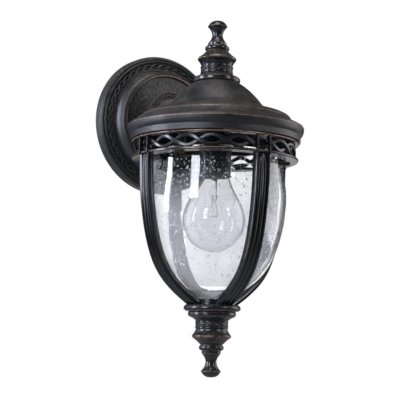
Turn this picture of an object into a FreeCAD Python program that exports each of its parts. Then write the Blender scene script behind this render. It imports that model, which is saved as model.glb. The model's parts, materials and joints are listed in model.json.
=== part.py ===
"""Outdoor wall lantern: an acorn-shaped glass cage hung from a domed roof on a short wall arm.

The part's frame has its origin on the wall, at the centre of the mounting strap and of the round
backplate. +Z is up, and the lantern stands out from the wall towards -Y. Lengths are millimetres.

Lantern pieces are drawn about their own vertical axis, with heights counted from the tip of the
bottom finial, and lantern_piece() carries them to the wall frame. Wall pieces are drawn with their
depth counted from the wall as +Z, and wall_piece() lays that axis along -Y.
"""
import FreeCAD
import Part
import math
import os

from FreeCAD import Vector

# --- Driving dimensions ---------------------------------------------------------------------
TIP_DROP = 255.0            # backplate centre above the tip of the bottom finial
OVERALL_HEIGHT = 343.8      # tip to tip of the two finials
PROJECTION = 112.0          # wall to the lantern's vertical axis

# Backplate and wall fixings
PLATE_R = 71.5
PLATE_FACE = 22.5           # depth of the flat centre disc in front of the wall
PLATE_WALL = 2.5
STUD_HALF_SPACING = 35.0
STUD_R = 2.0
STRAP_THICK = 2.0
SLOT_HALF_SPACING = 44.5    # junction-box screw slots, above and below the centre
SLOT_LENGTH = 12.0
SLOT_HALF_WIDTH = 2.3
WIRE_HOLE_R = 9.0
WIRE_RISE = 10.0            # the wire way sits this far above the backplate's centre

# Arm
ARM_SHOULDER = 8.0          # height at which the arched crowns of the arm begin
COLLAR_HALF_WIDTH = 24.0
COLLAR_FLARE = 28.0         # half width at the collar's foot
ROPE_BED_DEPTH = 1.6
COLLAR_TOP = 31.0
COLLAR_FOOT = -13.0
COLLAR_DEPTH = 6.5
NECK_HALF_WIDTH = 19.0
NECK_TOP = 22.5
NECK_FOOT = -11.0
ARM_BORE_R = 8.5
ARM_BORE_END = 57.5         # depth of the shoulder that the nipple's nut bears on
ARM_SCREW_X = 16.0
ARM_SCREW_Z = -3.0

# Roof
SKIRT_FOOT = 224.3
SKIRT_R = 81.9
ROOF_TOP = OVERALL_HEIGHT - 61.9    # the finial's flange stands here
POST_R = 3.5
REAR_BOSS_Y = 28.0          # flat inner face of the boss behind the dome, from the axis
BRIDGE_FOOT = 240.0
BRIDGE_THICK = 2.0
BRIDGE_SCREW_R = 52.0       # lampholder bridge screws, from the axis

# Cage
CAGE_TOP = 223.7
FLANGE_FOOT = 205.8
FLANGE_THICK = 2.5
FLANGE_R = 79.9
TOP_RING_THICK = 1.8
BAND_R = 77.0
BAND_WALL = 2.5
BAND_MIDDLE = (FLANGE_FOOT + FLANGE_THICK + CAGE_TOP - TOP_RING_THICK) / 2
COLLAR_LOW = 61.9
COLLAR_HIGH = 68.2
LENS_COUNT = 20
RIB_WIDTH = 15.0
RIB_DEPTH = 6.4
RAIL_WIDTH = 1.3
REED_TOP = 200.0
RIB_ANGLES = {"front": 0, "right": 90, "rear": 180, "left": 270}
SCREW_CIRCLE_R = 69.8
SCREW_ANGLES = (60, 180, 300)

# Glass and lamp
GLASS_WALL = 3.0
GLASS_GAP = 1.3             # between the ribs and the glass
GLASS_NECK_R = 65.2
GLASS_RIM = 212.0
BULB_R = 30.0
BULB_BASE_R = 13.0
SOCKET_R = 15.6
SOCKET_TOP = 226.0          # joint between the lampholder's body and its cap
FIT = 0.05                  # radial clearance of screws and shafts

PARTS = "parts"


# --- Outlines -------------------------------------------------------------------------------
def line(r, h):
    """A straight run to (r, h)."""
    return ("line", [(r, h)])


def arc(*points):
    """A round run through the first point to the second."""
    return ("arc", list(points))


def curve(*points):
    """A smooth run through every point."""
    return ("curve", list(points))


def outline_edges(start, runs):
    """Edges in the XZ plane that follow the runs from the start."""
    here = Vector(start[0], 0, start[1])
    edges = []
    for kind, points in runs:
        stops = [Vector(r, 0, h) for r, h in points]
        if kind == "line":
            edges.append(Part.LineSegment(here, stops[0]).toShape())
        elif kind == "arc":
            edges.append(Part.Arc(here, stops[0], stops[1]).toShape())
        else:
            spline = Part.BSplineCurve()
            spline.interpolate([here] + stops)
            edges.append(spline.toShape())
        here = stops[-1]
    return edges


def outline_face(start, *runs):
    """A closed face in the XZ plane; the last run comes back to the start by itself."""
    edges = outline_edges(start, runs)
    end = edges[-1].Vertexes[-1].Point
    first = Vector(start[0], 0, start[1])
    if end.distanceToPoint(first) > 1e-6:
        edges.append(Part.LineSegment(end, first).toShape())
    return Part.Face(Part.Wire(edges))


def turned(start, *runs):
    """A solid turned about the Z axis from an outline of (radius, height)."""
    solid = outline_face(start, *runs).revolve(Vector(0, 0, 0), Vector(0, 0, 1), 360)
    return as_solid(solid)


def as_solid(shape):
    """The shape's own solid, facing outwards."""
    solid = shape if shape.ShapeType == "Solid" else Part.Solid(shape.Shells[0])
    if solid.Volume < 0:
        solid.reverse()
    return solid


def rod(radius, low, high, x=0.0, y=0.0):
    """An upright cylinder between two heights."""
    return Part.makeCylinder(radius, high - low, Vector(x, y, low))


def tube(outer, inner, low, high, x=0.0, y=0.0):
    """An upright ring between two heights."""
    return rod(outer, low, high, x, y).cut(rod(inner, low - 1, high + 1, x, y))


def hexagon(across_flats, low, high, bore, x=0.0, y=0.0):
    """An upright hexagonal nut with a round bore."""
    radius = across_flats / math.sqrt(3)
    corners = [Vector(x + radius * math.cos(math.radians(60 * k)),
                      y + radius * math.sin(math.radians(60 * k)), low) for k in range(7)]
    prism = Part.Face(Part.makePolygon(corners)).extrude(Vector(0, 0, high - low))
    return prism.cut(rod(bore, low - 1, high + 1, x, y))


def turn_to(shape, angle):
    """Turn a piece drawn along +X to an angle counted from the front towards +X."""
    copy = shape.copy()
    copy.rotate(Vector(0, 0, 0), Vector(0, 0, 1), angle - 90)
    return copy


# --- Placing and writing --------------------------------------------------------------------
def lantern_piece(shape):
    """From the lantern's own axis and heights to the wall frame."""
    copy = shape.copy()
    copy.translate(Vector(0, -PROJECTION, -TIP_DROP))
    return copy


def wall_piece(shape):
    """From depth along +Z to depth along -Y."""
    copy = shape.copy()
    copy.rotate(Vector(0, 0, 0), Vector(1, 0, 0), 90)
    return copy


def save(name, shape):
    """Write one node, as a solid or as a group of separate solids."""
    solids = shape.Solids
    result = solids[0] if len(solids) == 1 else Part.makeCompound(solids)
    if not result.isValid():
        print("check the shape of", name)
    result.exportStep(os.path.join(PARTS, name + ".step"))
    print(f"{name:24s} {len(solids)} solid(s) {result.Volume / 1000:9.3f} cm3")


# --- Wall fixings ---------------------------------------------------------------------------
def stud_places():
    """Both studs lie level with the centre, left and right of it."""
    return [(-STUD_HALF_SPACING, 0.0), (STUD_HALF_SPACING, 0.0)]


def mounting_strap():
    """Flat steel cross: slots for the junction box above and below, studs left and right."""
    bar = 22.0
    upright = Part.makeBox(bar, 116, STRAP_THICK, Vector(-bar / 2, -58, 0))
    level = Part.makeBox(88, bar, STRAP_THICK, Vector(-44, -bar / 2, 0))
    strap = upright.fuse(level).removeSplitter()
    corners = [edge for edge in strap.Edges if edge.Length < STRAP_THICK + 0.01]
    strap = strap.makeFillet(3.0, corners)
    for side in (-1, 1):
        strap = strap.cut(box_slot(side * SLOT_HALF_SPACING))
    for x, y in stud_places():
        strap = strap.cut(rod(STUD_R + FIT, -1, 4, x, y))
    strap = strap.cut(rod(8.0, -1, 4, 0, 8))
    return strap.cut(rod(1.95, -1, 4, 0, -16))


def box_slot(centre):
    """A round-ended slot along the upright bar."""
    reach = SLOT_LENGTH / 2 - SLOT_HALF_WIDTH
    box = Part.makeBox(2 * SLOT_HALF_WIDTH, 2 * reach, 6, Vector(-SLOT_HALF_WIDTH, centre - reach, -2))
    ends = [rod(SLOT_HALF_WIDTH, -2, 4, 0, centre + side * reach) for side in (-1, 1)]
    return box.multiFuse(ends)


def mounting_studs():
    """Two threaded rods that stand out of the strap and carry the backplate."""
    return Part.makeCompound([rod(STUD_R, 0, 30.5, x, y) for x, y in stud_places()])


def stud_lock_nuts():
    """Nuts that lock the studs to the strap."""
    nuts = [hexagon(7.0, STRAP_THICK, 5.2, STUD_R + FIT, x, y) for x, y in stud_places()]
    return Part.makeCompound(nuts)


def ground_screw():
    """Earth screw in the strap, with its round head towards the room."""
    head = turned((0, 2.0), line(3.6, 2.0), arc((3.2, 3.7), (0, 4.4)))
    shank = rod(1.9, 0.2, 2.2)
    screw = head.fuse(shank).cut(Part.makeBox(8, 0.9, 1, Vector(-4, -0.45, 3.6)))
    screw.translate(Vector(0, -16, 0))
    return screw


def cap_nut(side):
    """Blind domed nut on one stud, in front of the backplate."""
    low = PLATE_FACE
    body = hexagon(10.0, low + 1.2, low + 6.0, STUD_R + FIT)
    dome = turned((0, low + 6.0), line(4.6, low + 6.0),
                  curve((4.2, low + 8.2), (2.8, low + 10.0), (0, low + 10.8)))
    washer = turned((STUD_R + FIT, low), line(6.2, low), arc((6.3, low + 0.6), (6.0, low + 1.2)),
                    line(STUD_R + FIT, low + 1.2))
    nut = body.multiFuse([dome, washer])
    nut = nut.cut(rod(STUD_R + FIT, low - 1, low + 9.0))
    nut.translate(Vector(side * STUD_HALF_SPACING, 0, 0))
    return nut


# --- Backplate ------------------------------------------------------------------------------
def backplate():
    """Deep round canopy: square rim, bead, half-round rope bed, bold roll and a flat centre."""
    shell = turned(
        (PLATE_R, 0),
        line(PLATE_R, 8.8),
        arc((71.0, 10.6), (69.4, 11.4)),
        line(68.4, 11.4),
        arc((67.6, 10.2), (66.8, 11.0)),
        arc((66.0, 12.7), (65.1, 11.7)),
        line(64.3, 11.9),
        arc((61.0, 15.0), (57.8, 12.9)),
        line(56.9, 12.6),
        arc((55.0, 20.4), (50.2, 24.7)),
        line(48.9, 25.0),
        line(47.6, PLATE_FACE),
        line(0, PLATE_FACE),
        line(0, PLATE_FACE - PLATE_WALL),
        line(46.4, PLATE_FACE - PLATE_WALL),
        line(49.2, 21.8),
        arc((52.6, 17.6), (54.2, 10.4)),
        line(64.0, 9.4),
        line(68.9, 8.4),
        line(68.9, 0),
    )
    shell = shell.cut(rod(WIRE_HOLE_R, 15, 30, 0, WIRE_RISE))
    for x, y in stud_places():
        shell = shell.cut(rod(STUD_R + 0.3, 15, 30, x, y))
    for side in (-1, 1):
        shell = shell.cut(rod(2.6, 15, 30, side * ARM_SCREW_X, ARM_SCREW_Z))
    return shell


def wall_gasket():
    """Foam ring inside the rim that seals the canopy to the wall."""
    return tube(68.9, 65.0, 0, 3.0)


def wire_bushing():
    """Plastic bush that lines the wire hole in the backplate."""
    back = PLATE_FACE - PLATE_WALL
    bush = turned((6.0, back - 1.6), line(11.0, back - 1.6), line(11.0, back), line(WIRE_HOLE_R, back),
                  line(WIRE_HOLE_R, PLATE_FACE), line(6.0, PLATE_FACE))
    bush.translate(Vector(0, WIRE_RISE, 0))
    return bush


# --- Arm ------------------------------------------------------------------------------------
def arch(half_width, foot_half_width, foot, top, low, high):
    """Arch-topped block: an elliptical crown on sides that flare towards a flat foot."""
    middle = (ARM_SHOULDER + foot) / 2
    flare = half_width + 0.25 * (foot_half_width - half_width)
    outline = [crown_half(half_width, top, low)]
    for side in (-1, 1):
        edge = Part.BSplineCurve()
        edge.interpolate([Vector(side * foot_half_width, foot, low), Vector(side * flare, middle, low),
                          Vector(side * half_width, ARM_SHOULDER, low)])
        outline.append(edge.toShape())
    sill = Part.LineSegment(Vector(-foot_half_width, foot, low), Vector(foot_half_width, foot, low))
    outline.append(sill.toShape())
    wire = Part.Wire(Part.__sortEdges__(outline))
    return Part.Face(wire).extrude(Vector(0, 0, high - low))


def crown_half(half_width, top, low):
    """Upper half of an ellipse, as a smooth curve from the right shoulder to the left."""
    rise = top - ARM_SHOULDER
    points = []
    for step in range(9):
        turn = math.pi * step / 8
        points.append(Vector(half_width * math.cos(turn), ARM_SHOULDER + rise * math.sin(turn), low))
    spline = Part.BSplineCurve()
    spline.interpolate(points, InitialTangent=Vector(0, 1, 0), FinalTangent=Vector(0, -1, 0))
    return spline.toShape()


def arm():
    """Hollow arm: an arch-shaped collar on the backplate and a neck that runs into the roof."""
    front = PLATE_FACE + COLLAR_DEPTH
    collar = arch(COLLAR_HALF_WIDTH, COLLAR_FLARE, COLLAR_FOOT, COLLAR_TOP, PLATE_FACE, front)
    rope_bed = arch(COLLAR_HALF_WIDTH - 4.8, COLLAR_FLARE - 5.5, COLLAR_FOOT - 1, COLLAR_TOP - 5.4,
                    front - ROPE_BED_DEPTH, front + 1)
    collar = collar.cut(rope_bed)
    neck = arch(NECK_HALF_WIDTH, NECK_HALF_WIDTH + 1.0, NECK_FOOT, NECK_TOP,
                front - ROPE_BED_DEPTH - 0.1, PROJECTION - 20)
    body = wall_piece(collar.fuse(neck))
    body = body.cut(lantern_piece(roof_envelope()))
    body = body.cut(lantern_piece(rod(86.0, SKIRT_FOOT - 10, 245.0)))
    wire_way = wall_piece(rod(ARM_BORE_R, PLATE_FACE - 1, ARM_BORE_END, 0, WIRE_RISE))
    nipple_hole = wall_piece(rod(5.0, 50.0, 100.0, 0, WIRE_RISE))
    body = body.cut(wire_way).cut(nipple_hole)
    for side in (-1, 1):
        screw_hole = rod(2.5, PLATE_FACE - 1, PLATE_FACE + 12, side * ARM_SCREW_X, ARM_SCREW_Z)
        body = body.cut(wall_piece(screw_hole))
    return max(body.Solids, key=lambda solid: solid.Volume)


def arm_screws():
    """Two screws from behind the backplate into the arm."""
    inner_face = PLATE_FACE - PLATE_WALL
    head_back = inner_face - 3.0
    screws = []
    for side in (-1, 1):
        head = rod(4.4, head_back, inner_face)
        shank = rod(2.45, inner_face, PLATE_FACE + 10)
        slot = Part.makeBox(10, 1.1, 1.2, Vector(-5, -0.55, head_back))
        screw = head.fuse(shank).cut(slot)
        screw.translate(Vector(side * ARM_SCREW_X, ARM_SCREW_Z, 0))
        screws.append(screw)
    return Part.makeCompound(screws)


def arm_nipple():
    """Threaded tube that ties the arm to the roof and carries the wires."""
    return tube(4.9, 3.6, 50.5, PROJECTION - REAR_BOSS_Y + 7.0, 0, WIRE_RISE)


def arm_nipple_nuts():
    """One nut inside the arm and one inside the roof."""
    thick = 4.0
    boss_face = PROJECTION - REAR_BOSS_Y
    in_arm = hexagon(14.0, ARM_BORE_END - thick, ARM_BORE_END, 4.95, 0, WIRE_RISE)
    in_roof = hexagon(14.0, boss_face, boss_face + thick, 4.95, 0, WIRE_RISE)
    return Part.makeCompound([in_arm, in_roof])


# --- Roof -----------------------------------------------------------------------------------
def roof_envelope():
    """Outer form of the roof, solid: flared dome, stepped tier, creased rim and skirt."""
    return turned(
        (0, SKIRT_FOOT),
        line(SKIRT_R, SKIRT_FOOT),
        line(SKIRT_R, 230.2),
        line(83.6, 231.2),
        curve((84.5, 233.0), (84.95, 235.0), (85.2, 237.1)),
        line(84.5, 238.8),
        curve((83.0, 239.8), (80.0, 241.2), (75.6, 243.6), (72.8, 246.2)),
        line(72.3, 247.3),
        curve((70.6, 249.4), (66.4, 251.3), (62.4, 252.5), (56.4, 254.2), (49.6, 256.6), (46.5, 258.6),
              (44.4, 261.0)),
        curve((40.6, 265.8), (36.2, 270.6), (31.0, 275.5), (25.8, 279.4), (22.6, ROOF_TOP - 0.2)),
        line(22.0, ROOF_TOP),
        line(0, ROOF_TOP),
    )


def sky():
    """Everything outside the roof's outer form, from the skirt's foot upwards."""
    return rod(100.0, SKIRT_FOOT, 300.0).cut(roof_envelope())


def roof_cavity():
    """Hollow inside the roof, open at the skirt."""
    return turned(
        (0, SKIRT_FOOT - 2),
        line(79.2, SKIRT_FOOT - 2),
        line(79.2, 231.0),
        curve((81.6, 233.0), (82.4, 235.6), (81.7, 237.0)),
        curve((78.6, 239.0), (72.6, 241.6), (69.6, 245.0)),
        curve((65.4, 248.4), (61.2, 250.0), (55.4, 251.7), (48.6, 253.8), (43.4, 256.6), (40.6, 260.2)),
        curve((37.6, 264.6), (33.9, 268.9), (29.2, 273.4), (23.4, 277.6)),
        line(21.4, 278.4),
        line(0, 278.4),
    )


def roof():
    """Cast roof shell with posts for the cage screws, bosses for the bridge and a rear boss."""
    envelope = roof_envelope()
    shell = envelope.cut(roof_cavity())
    post = rod(POST_R, FLANGE_FOOT + FLANGE_THICK, 250.0, SCREW_CIRCLE_R).cut(sky())
    posts = [turn_to(post, angle) for angle in SCREW_ANGLES]
    boss = rod(5.0, BRIDGE_FOOT + BRIDGE_THICK, 256.5, BRIDGE_SCREW_R).cut(sky())
    bosses = [turn_to(boss, angle) for angle in (90, 270)]
    rear_height = TIP_DROP + WIRE_RISE
    backwards = Vector(0, 1, 0)
    rear_boss = Part.makeCylinder(9.5, 17.0, Vector(0, REAR_BOSS_Y, rear_height), backwards)
    shell = shell.multiFuse(posts + bosses + [rear_boss.common(envelope)])
    shell = shell.cut(Part.makeCylinder(5.0, 40.0, Vector(0, 20.0, rear_height), backwards))
    screw_hole = rod(STUD_R + FIT, FLANGE_FOOT, 217.0, SCREW_CIRCLE_R)
    for angle in SCREW_ANGLES:
        shell = shell.cut(turn_to(screw_hole, angle))
    for side in (-1, 1):
        shell = shell.cut(rod(1.95, BRIDGE_FOOT, 252.0, side * BRIDGE_SCREW_R))
    return shell.cut(rod(3.05, 270.0, 290.0))


# --- Finials --------------------------------------------------------------------------------
def finial():
    """Turned drop: knob, neck, two beads, dished disc, waist and flange, bored for its stud."""
    solid = turned(
        (0, 0),
        curve((4.4, 0.4), (7.6, 2.5), (9.6, 5.9)),
        curve((7.7, 7.8), (5.9, 10.8), (5.0, 15.0), (5.9, 18.2), (7.9, 21.0), (9.1, 22.6)),
        line(9.2, 25.0),
        arc((11.9, 27.6), (10.3, 30.4)),
        curve((12.4, 32.4), (15.2, 35.1), (18.3, 37.1)),
        arc((18.9, 38.5), (18.3, 39.8)),
        curve((16.7, 41.6), (15.7, 43.4), (15.1, 45.2)),
        line(15.1, 45.8),
        arc((15.9, 46.5), (15.1, 47.2)),
        line(15.1, 51.4),
        arc((15.9, 52.1), (15.2, 52.8)),
        curve((16.4, 54.1), (18.6, 55.6), (21.9, 57.0)),
        arc((22.8, 58.6), (22.8, 60.6)),
        line(22.3, COLLAR_LOW),
        line(0, COLLAR_LOW),
    )
    return solid.cut(rod(2.5 + FIT, 40.0, 70.0))


def top_finial():
    """The same casting upside down, on top of the dome."""
    piece = finial()
    piece.rotate(Vector(0, 0, OVERALL_HEIGHT / 2), Vector(1, 0, 0), 180)
    return piece


def roof_stud():
    """Stud through the top of the dome that the top finial screws onto."""
    return rod(2.5, 270.5, 303.0)


def roof_stud_nut():
    """Nut that holds the stud inside the dome."""
    return hexagon(9.0, 274.4, 278.4, 2.5 + FIT)


# --- Lampholder -----------------------------------------------------------------------------
def lampholder_bridge():
    """Flat strap across the roof that carries the lampholder."""
    strap = Part.makeBox(118, 17, BRIDGE_THICK, Vector(-59, -8.5, BRIDGE_FOOT))
    ends = [edge for edge in strap.Edges if edge.Length < BRIDGE_THICK + 0.01]
    strap = strap.makeFillet(4.0, ends)
    strap = strap.cut(rod(5.0, 230, 250))
    for side in (-1, 1):
        strap = strap.cut(rod(2.1, 230, 250, side * BRIDGE_SCREW_R))
    return strap


def bridge_screws():
    """Two screws that hold the bridge to the roof."""
    head_foot = BRIDGE_FOOT - 2.6
    screws = []
    for side in (-1, 1):
        head = turned((0, BRIDGE_FOOT), line(3.8, BRIDGE_FOOT), arc((3.3, head_foot + 0.8), (0, head_foot)))
        shank = rod(1.9, BRIDGE_FOOT - 0.2, 251.0)
        slot = Part.makeBox(8, 0.9, 1.0, Vector(-4, -0.45, head_foot - 0.2))
        screw = head.fuse(shank).cut(slot)
        screw.translate(Vector(side * BRIDGE_SCREW_R, 0, 0))
        screws.append(screw)
    return Part.makeCompound(screws)


def socket_nipple():
    """Short threaded tube between the bridge and the lampholder cap."""
    return tube(4.9, 3.6, 230.5, 248.0)


def socket_nipple_nut():
    """Nut on the nipple, above the bridge."""
    return hexagon(14.0, 242.0, 246.0, 4.95)


def socket_cap():
    """Domed top of the lampholder, threaded for the nipple."""
    cap = turned((0, SOCKET_TOP), line(SOCKET_R, SOCKET_TOP), line(SOCKET_R, 228.4),
                 curve((14.6, 231.0), (11.6, 232.8), (8.0, 233.6)), line(8.0, BRIDGE_FOOT),
                 line(0, BRIDGE_FOOT))
    cap = cap.cut(rod(4.95, 230.5, 241.0))
    return cap.cut(rod(3.2, 225.0, 231.0))


def socket_body():
    """Black insulating cup around the screw shell, with a rolled lip and a closed top."""
    return turned((15.0, 190.0), line(15.6, 190.0), arc((16.2, 190.8), (SOCKET_R, 192.2)),
                  line(SOCKET_R, SOCKET_TOP), line(3.2, SOCKET_TOP), line(3.2, 225.4),
                  line(14.0, 225.4), line(14.0, 193.8), line(15.0, 193.4))


def screw_shell():
    """Thin brass shell with a rolled thread that takes the bulb's cap."""
    return turned((13.3, 194.0), line(13.9, 194.0), line(13.9, 221.6), line(9.6, 221.6),
                  line(9.6, 221.1), line(13.3, 221.1))


def centre_contact():
    """Sprung brass tongue over the bulb's tip."""
    return Part.makeBox(6, 16, 0.6, Vector(-3, -4, 224.7))


# --- Lamp -----------------------------------------------------------------------------------
def bulb_envelope():
    """Clear pear-shaped glass, thin-walled, open where it enters the cap."""
    low = 117.7
    wall = 0.8
    middle = low + BULB_R
    half = BULB_R * math.sqrt(0.5)
    inner = BULB_R - wall
    inner_half = inner * math.sqrt(0.5)
    outside = turned((0, low), arc((half, middle - half), (BULB_R, middle)),
                     curve((27.8, 160.6), (21.8, 172.6), (16.8, 181.6), (14.5, 188.0), (13.0, 193.2),
                           (12.5, 196.0)),
                     line(12.5, 198.0), line(0, 198.0))
    inside = turned((0, low + wall), arc((inner_half, middle - inner_half), (inner, middle)),
                    curve((27.0, 160.2), (21.1, 172.2), (16.1, 181.2), (13.8, 187.7), (12.3, 193.0),
                          (11.7, 196.0)),
                    line(11.7, 199.0), line(0, 199.0))
    return outside.cut(inside)


def bulb_base():
    """Metal screw cap of the bulb."""
    return turned((12.6, 196.0), line(BULB_BASE_R, 196.0), line(BULB_BASE_R, 217.6),
                  line(10.0, 220.6), line(9.2, 220.6), line(12.4, 217.2), line(12.4, 198.2),
                  line(12.6, 198.0))


def bulb_insulator():
    """Black glass disc between the cap and the tip contact."""
    return turned((0, 220.0), line(9.2, 220.0), line(9.2, 220.8), line(5.6, 223.2), line(0, 223.2))


def bulb_contact():
    """Soldered tip contact."""
    return turned((0, 223.2), line(4.6, 223.2), curve((4.2, 223.9), (3.0, 224.5)), line(0, 224.5))


def bulb_stem():
    """Glass stem that carries the support wires: a flare, a tube and a pinched press."""
    return turned((0, 168.0), line(3.0, 168.0), arc((3.6, 171.0), (2.6, 173.0)), line(2.4, 184.0),
                  curve((3.4, 190.0), (7.0, 195.0), (11.2, 197.4)), line(11.2, 198.2), line(0, 198.2))


def bulb_filament():
    """Two lead wires and the coiled filament strung between them."""
    leads = []
    for side in (-1, 1):
        foot = Vector(side * 1.2, 0, 169.0)
        tip = Vector(side * 9.5, 0, 152.0)
        direction = tip.sub(foot)
        leads.append(Part.makeCylinder(0.35, direction.Length, foot, direction))
    coil = Part.makeCylinder(0.6, 19.6, Vector(-9.8, 0, 152.0), Vector(1, 0, 0))
    hanger = Part.makeCylinder(0.25, 17.0, Vector(0, 0, 152.2), Vector(0, 0, 1))
    return leads[0].multiFuse([leads[1], coil, hanger])


# --- Cage -----------------------------------------------------------------------------------
def rib_curve():
    """Outer edge of a rib from its foot on the collar to the underside of the flange."""
    points = [(16.0, 63.2), (27.0, 70.2), (39.5, 79.2), (51.8, 90.5), (61.4, 104.0), (68.2, 120.0),
              (73.2, 138.5), (76.8, 160.0), (78.8, 180.0), (79.7, FLANGE_FOOT)]
    spline = Part.BSplineCurve()
    spline.interpolate([Vector(r, 0, h) for r, h in points])
    return spline


def inner_offset(spline, distance, count=12):
    """A curve that lies the given distance inside another, on the lantern's side."""
    points = []
    first, last = spline.FirstParameter, spline.LastParameter
    for step in range(count + 1):
        at = first + (last - first) * step / count
        tangent = spline.tangent(at)[0]
        normal = Vector(-tangent.z, 0, tangent.x)
        points.append(spline.value(at).add(normal.multiply(distance)))
    inner = Part.BSplineCurve()
    inner.interpolate(points)
    return inner


def between(outer, inner):
    """Face between two curves that run the same way."""
    edges = [outer.toShape(), inner.toShape(),
             Part.LineSegment(outer.StartPoint, inner.StartPoint).toShape(),
             Part.LineSegment(outer.EndPoint, inner.EndPoint).toShape()]
    return Part.Face(Part.Wire(Part.__sortEdges__(edges)))


def across(face, low, high):
    """Prism of a face in the XZ plane, from one sideways position to another."""
    prism = face.extrude(Vector(0, high - low, 0))
    prism.translate(Vector(0, low, 0))
    return prism


def rib():
    """Curved strip with two edge rails and twin reeds, and an open frame over the gallery."""
    outer = rib_curve()
    half = RIB_WIDTH / 2
    rail = RAIL_WIDTH
    strip = across(between(outer, inner_offset(outer, RIB_DEPTH)), -half, half)
    channel = across(between(outer, inner_offset(outer, 1.6)), -half + rail, half - rail)
    strip = strip.cut(channel)
    reed_face = between(inner_offset(outer, 0.3), inner_offset(outer, 1.7))
    reeds = [across(reed_face, centre - 1.7, centre + 1.7) for centre in (-2.3, 2.3)]
    reeds = [reed.common(Part.makeBox(120, 20, REED_TOP, Vector(0, -10, 0))) for reed in reeds]
    frame_top = CAGE_TOP - 2.0
    frame = Part.makeBox(FLANGE_R + 0.1 - BAND_R, RIB_WIDTH, frame_top - FLANGE_FOOT,
                         Vector(BAND_R, -half, FLANGE_FOOT))
    window = Part.makeBox(10, RIB_WIDTH - 2 * rail, frame_top - rail - FLANGE_FOOT - FLANGE_THICK,
                          Vector(BAND_R - 2, -half + rail, FLANGE_FOOT + FLANGE_THICK))
    strip = strip.common(rod(100, 40, FLANGE_FOOT))
    body = strip.multiFuse(reeds + [frame.cut(window)])
    body = body.cut(rod(18.2, 60, 100)).cut(rod(100, 40, COLLAR_HIGH))
    body = body.cut(rod(1.55, 60, 74.5, 20.6))
    return max(body.removeSplitter().Solids, key=lambda solid: solid.Volume)


def lens_window():
    """One eye-shaped opening through the gallery band, drawn along +X."""
    half_long = 9.2
    half_high = 4.3
    left = Vector(60, -half_long, BAND_MIDDLE)
    right = Vector(60, half_long, BAND_MIDDLE)
    upper = Part.Arc(left, Vector(60, 0, BAND_MIDDLE + half_high), right).toShape()
    lower = Part.Arc(right, Vector(60, 0, BAND_MIDDLE - half_high), left).toShape()
    return Part.Face(Part.Wire([upper, lower])).extrude(Vector(30, 0, 0))


def corner_window(up):
    """One small three-sided opening above or below a crossing of the strands."""
    base = BAND_MIDDLE + up * 6.0
    tip = BAND_MIDDLE + up * 2.4
    corners = [Vector(60, -4.6, base), Vector(60, 4.6, base), Vector(60, 0, tip), Vector(60, -4.6, base)]
    return Part.Face(Part.makePolygon(corners)).extrude(Vector(30, 0, 0))


def gallery():
    """Cage head: flange ring, pierced band with a chain of eye-shaped openings, and top ring."""
    flange_top = FLANGE_FOOT + FLANGE_THICK
    body = turned(
        (66.8, FLANGE_FOOT),
        line(FLANGE_R - 0.5, FLANGE_FOOT),
        arc((FLANGE_R, FLANGE_FOOT + FLANGE_THICK / 2), (FLANGE_R - 0.5, flange_top)),
        line(BAND_R, flange_top),
        line(BAND_R, CAGE_TOP - TOP_RING_THICK),
        line(80.0, CAGE_TOP - TOP_RING_THICK),
        arc((80.5, CAGE_TOP - 0.9), (80.0, CAGE_TOP)),
        line(BAND_R - BAND_WALL, CAGE_TOP),
        line(BAND_R - BAND_WALL, flange_top),
        line(66.8, flange_top),
    )
    windows = []
    pitch = 360.0 / LENS_COUNT
    for step in range(LENS_COUNT):
        windows.append(turn_to(lens_window(), pitch * step))
        windows.append(turn_to(corner_window(1), pitch * (step + 0.5)))
        windows.append(turn_to(corner_window(-1), pitch * (step + 0.5)))
    body = body.cut(Part.makeCompound(windows))
    for angle in RIB_ANGLES.values():
        notch = Part.makeBox(10, RIB_WIDTH, CAGE_TOP - 2.0 - FLANGE_FOOT + 1,
                             Vector(BAND_R, -RIB_WIDTH / 2, FLANGE_FOOT - 1))
        body = body.cut(turn_to(notch, angle))
    for angle in SCREW_ANGLES:
        body = body.cut(turn_to(rod(STUD_R + 0.3, 200, 212, SCREW_CIRCLE_R), angle))
    return body


def cage_screw(angle):
    """Low slotted screw from under the flange into a roof post."""
    head_foot = FLANGE_FOOT - 1.9
    head = turned((0, head_foot), line(2.4, head_foot), line(3.0, head_foot + 0.5), line(3.0, FLANGE_FOOT),
                  line(0, FLANGE_FOOT))
    shank = rod(STUD_R, FLANGE_FOOT - 0.5, FLANGE_FOOT + 8.5)
    slot = Part.makeBox(8, 0.8, 0.8, Vector(-4, -0.4, head_foot))
    screw = head.fuse(shank).cut(slot)
    screw.translate(Vector(SCREW_CIRCLE_R, 0, 0))
    return turn_to(screw, angle)


def base_collar():
    """Rounded ring at the bottom of the cage that gathers the ribs."""
    ring = turned(
        (3.1, COLLAR_LOW),
        line(24.2, COLLAR_LOW),
        curve((26.5, 62.9), (27.2, 64.8), (26.6, 66.8), (24.8, COLLAR_HIGH)),
        line(3.1, COLLAR_HIGH),
    )
    for angle in RIB_ANGLES.values():
        ring = ring.cut(turn_to(rod(1.6, 60, 70, 20.6), angle))
        ring = ring.cut(turn_to(rod(3.0, 60, COLLAR_LOW + 2.4, 20.6), angle))
    return ring


def rib_foot_screws():
    """Four counterbored screws up through the collar into the ribs."""
    screws = []
    for angle in RIB_ANGLES.values():
        head = rod(2.8, COLLAR_LOW + 0.2, COLLAR_LOW + 2.4, 20.6)
        shank = rod(1.5, COLLAR_LOW + 2.4, 73.8, 20.6)
        screws.append(turn_to(head.fuse(shank), angle))
    return Part.makeCompound(screws)


def glass_seat():
    """Shallow cup on the collar that the glass stands in."""
    return turned((3.1, COLLAR_HIGH), line(18.0, COLLAR_HIGH), line(18.0, 73.2), line(16.2, 73.2),
                  line(15.0, 70.6), line(3.1, 70.6))


def glass_pad():
    """Rubber ring under the glass."""
    return turned((7.6, 70.6), line(14.0, 70.6), arc((14.6, 71.9), (14.0, 73.2)), line(7.6, 73.2))


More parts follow.
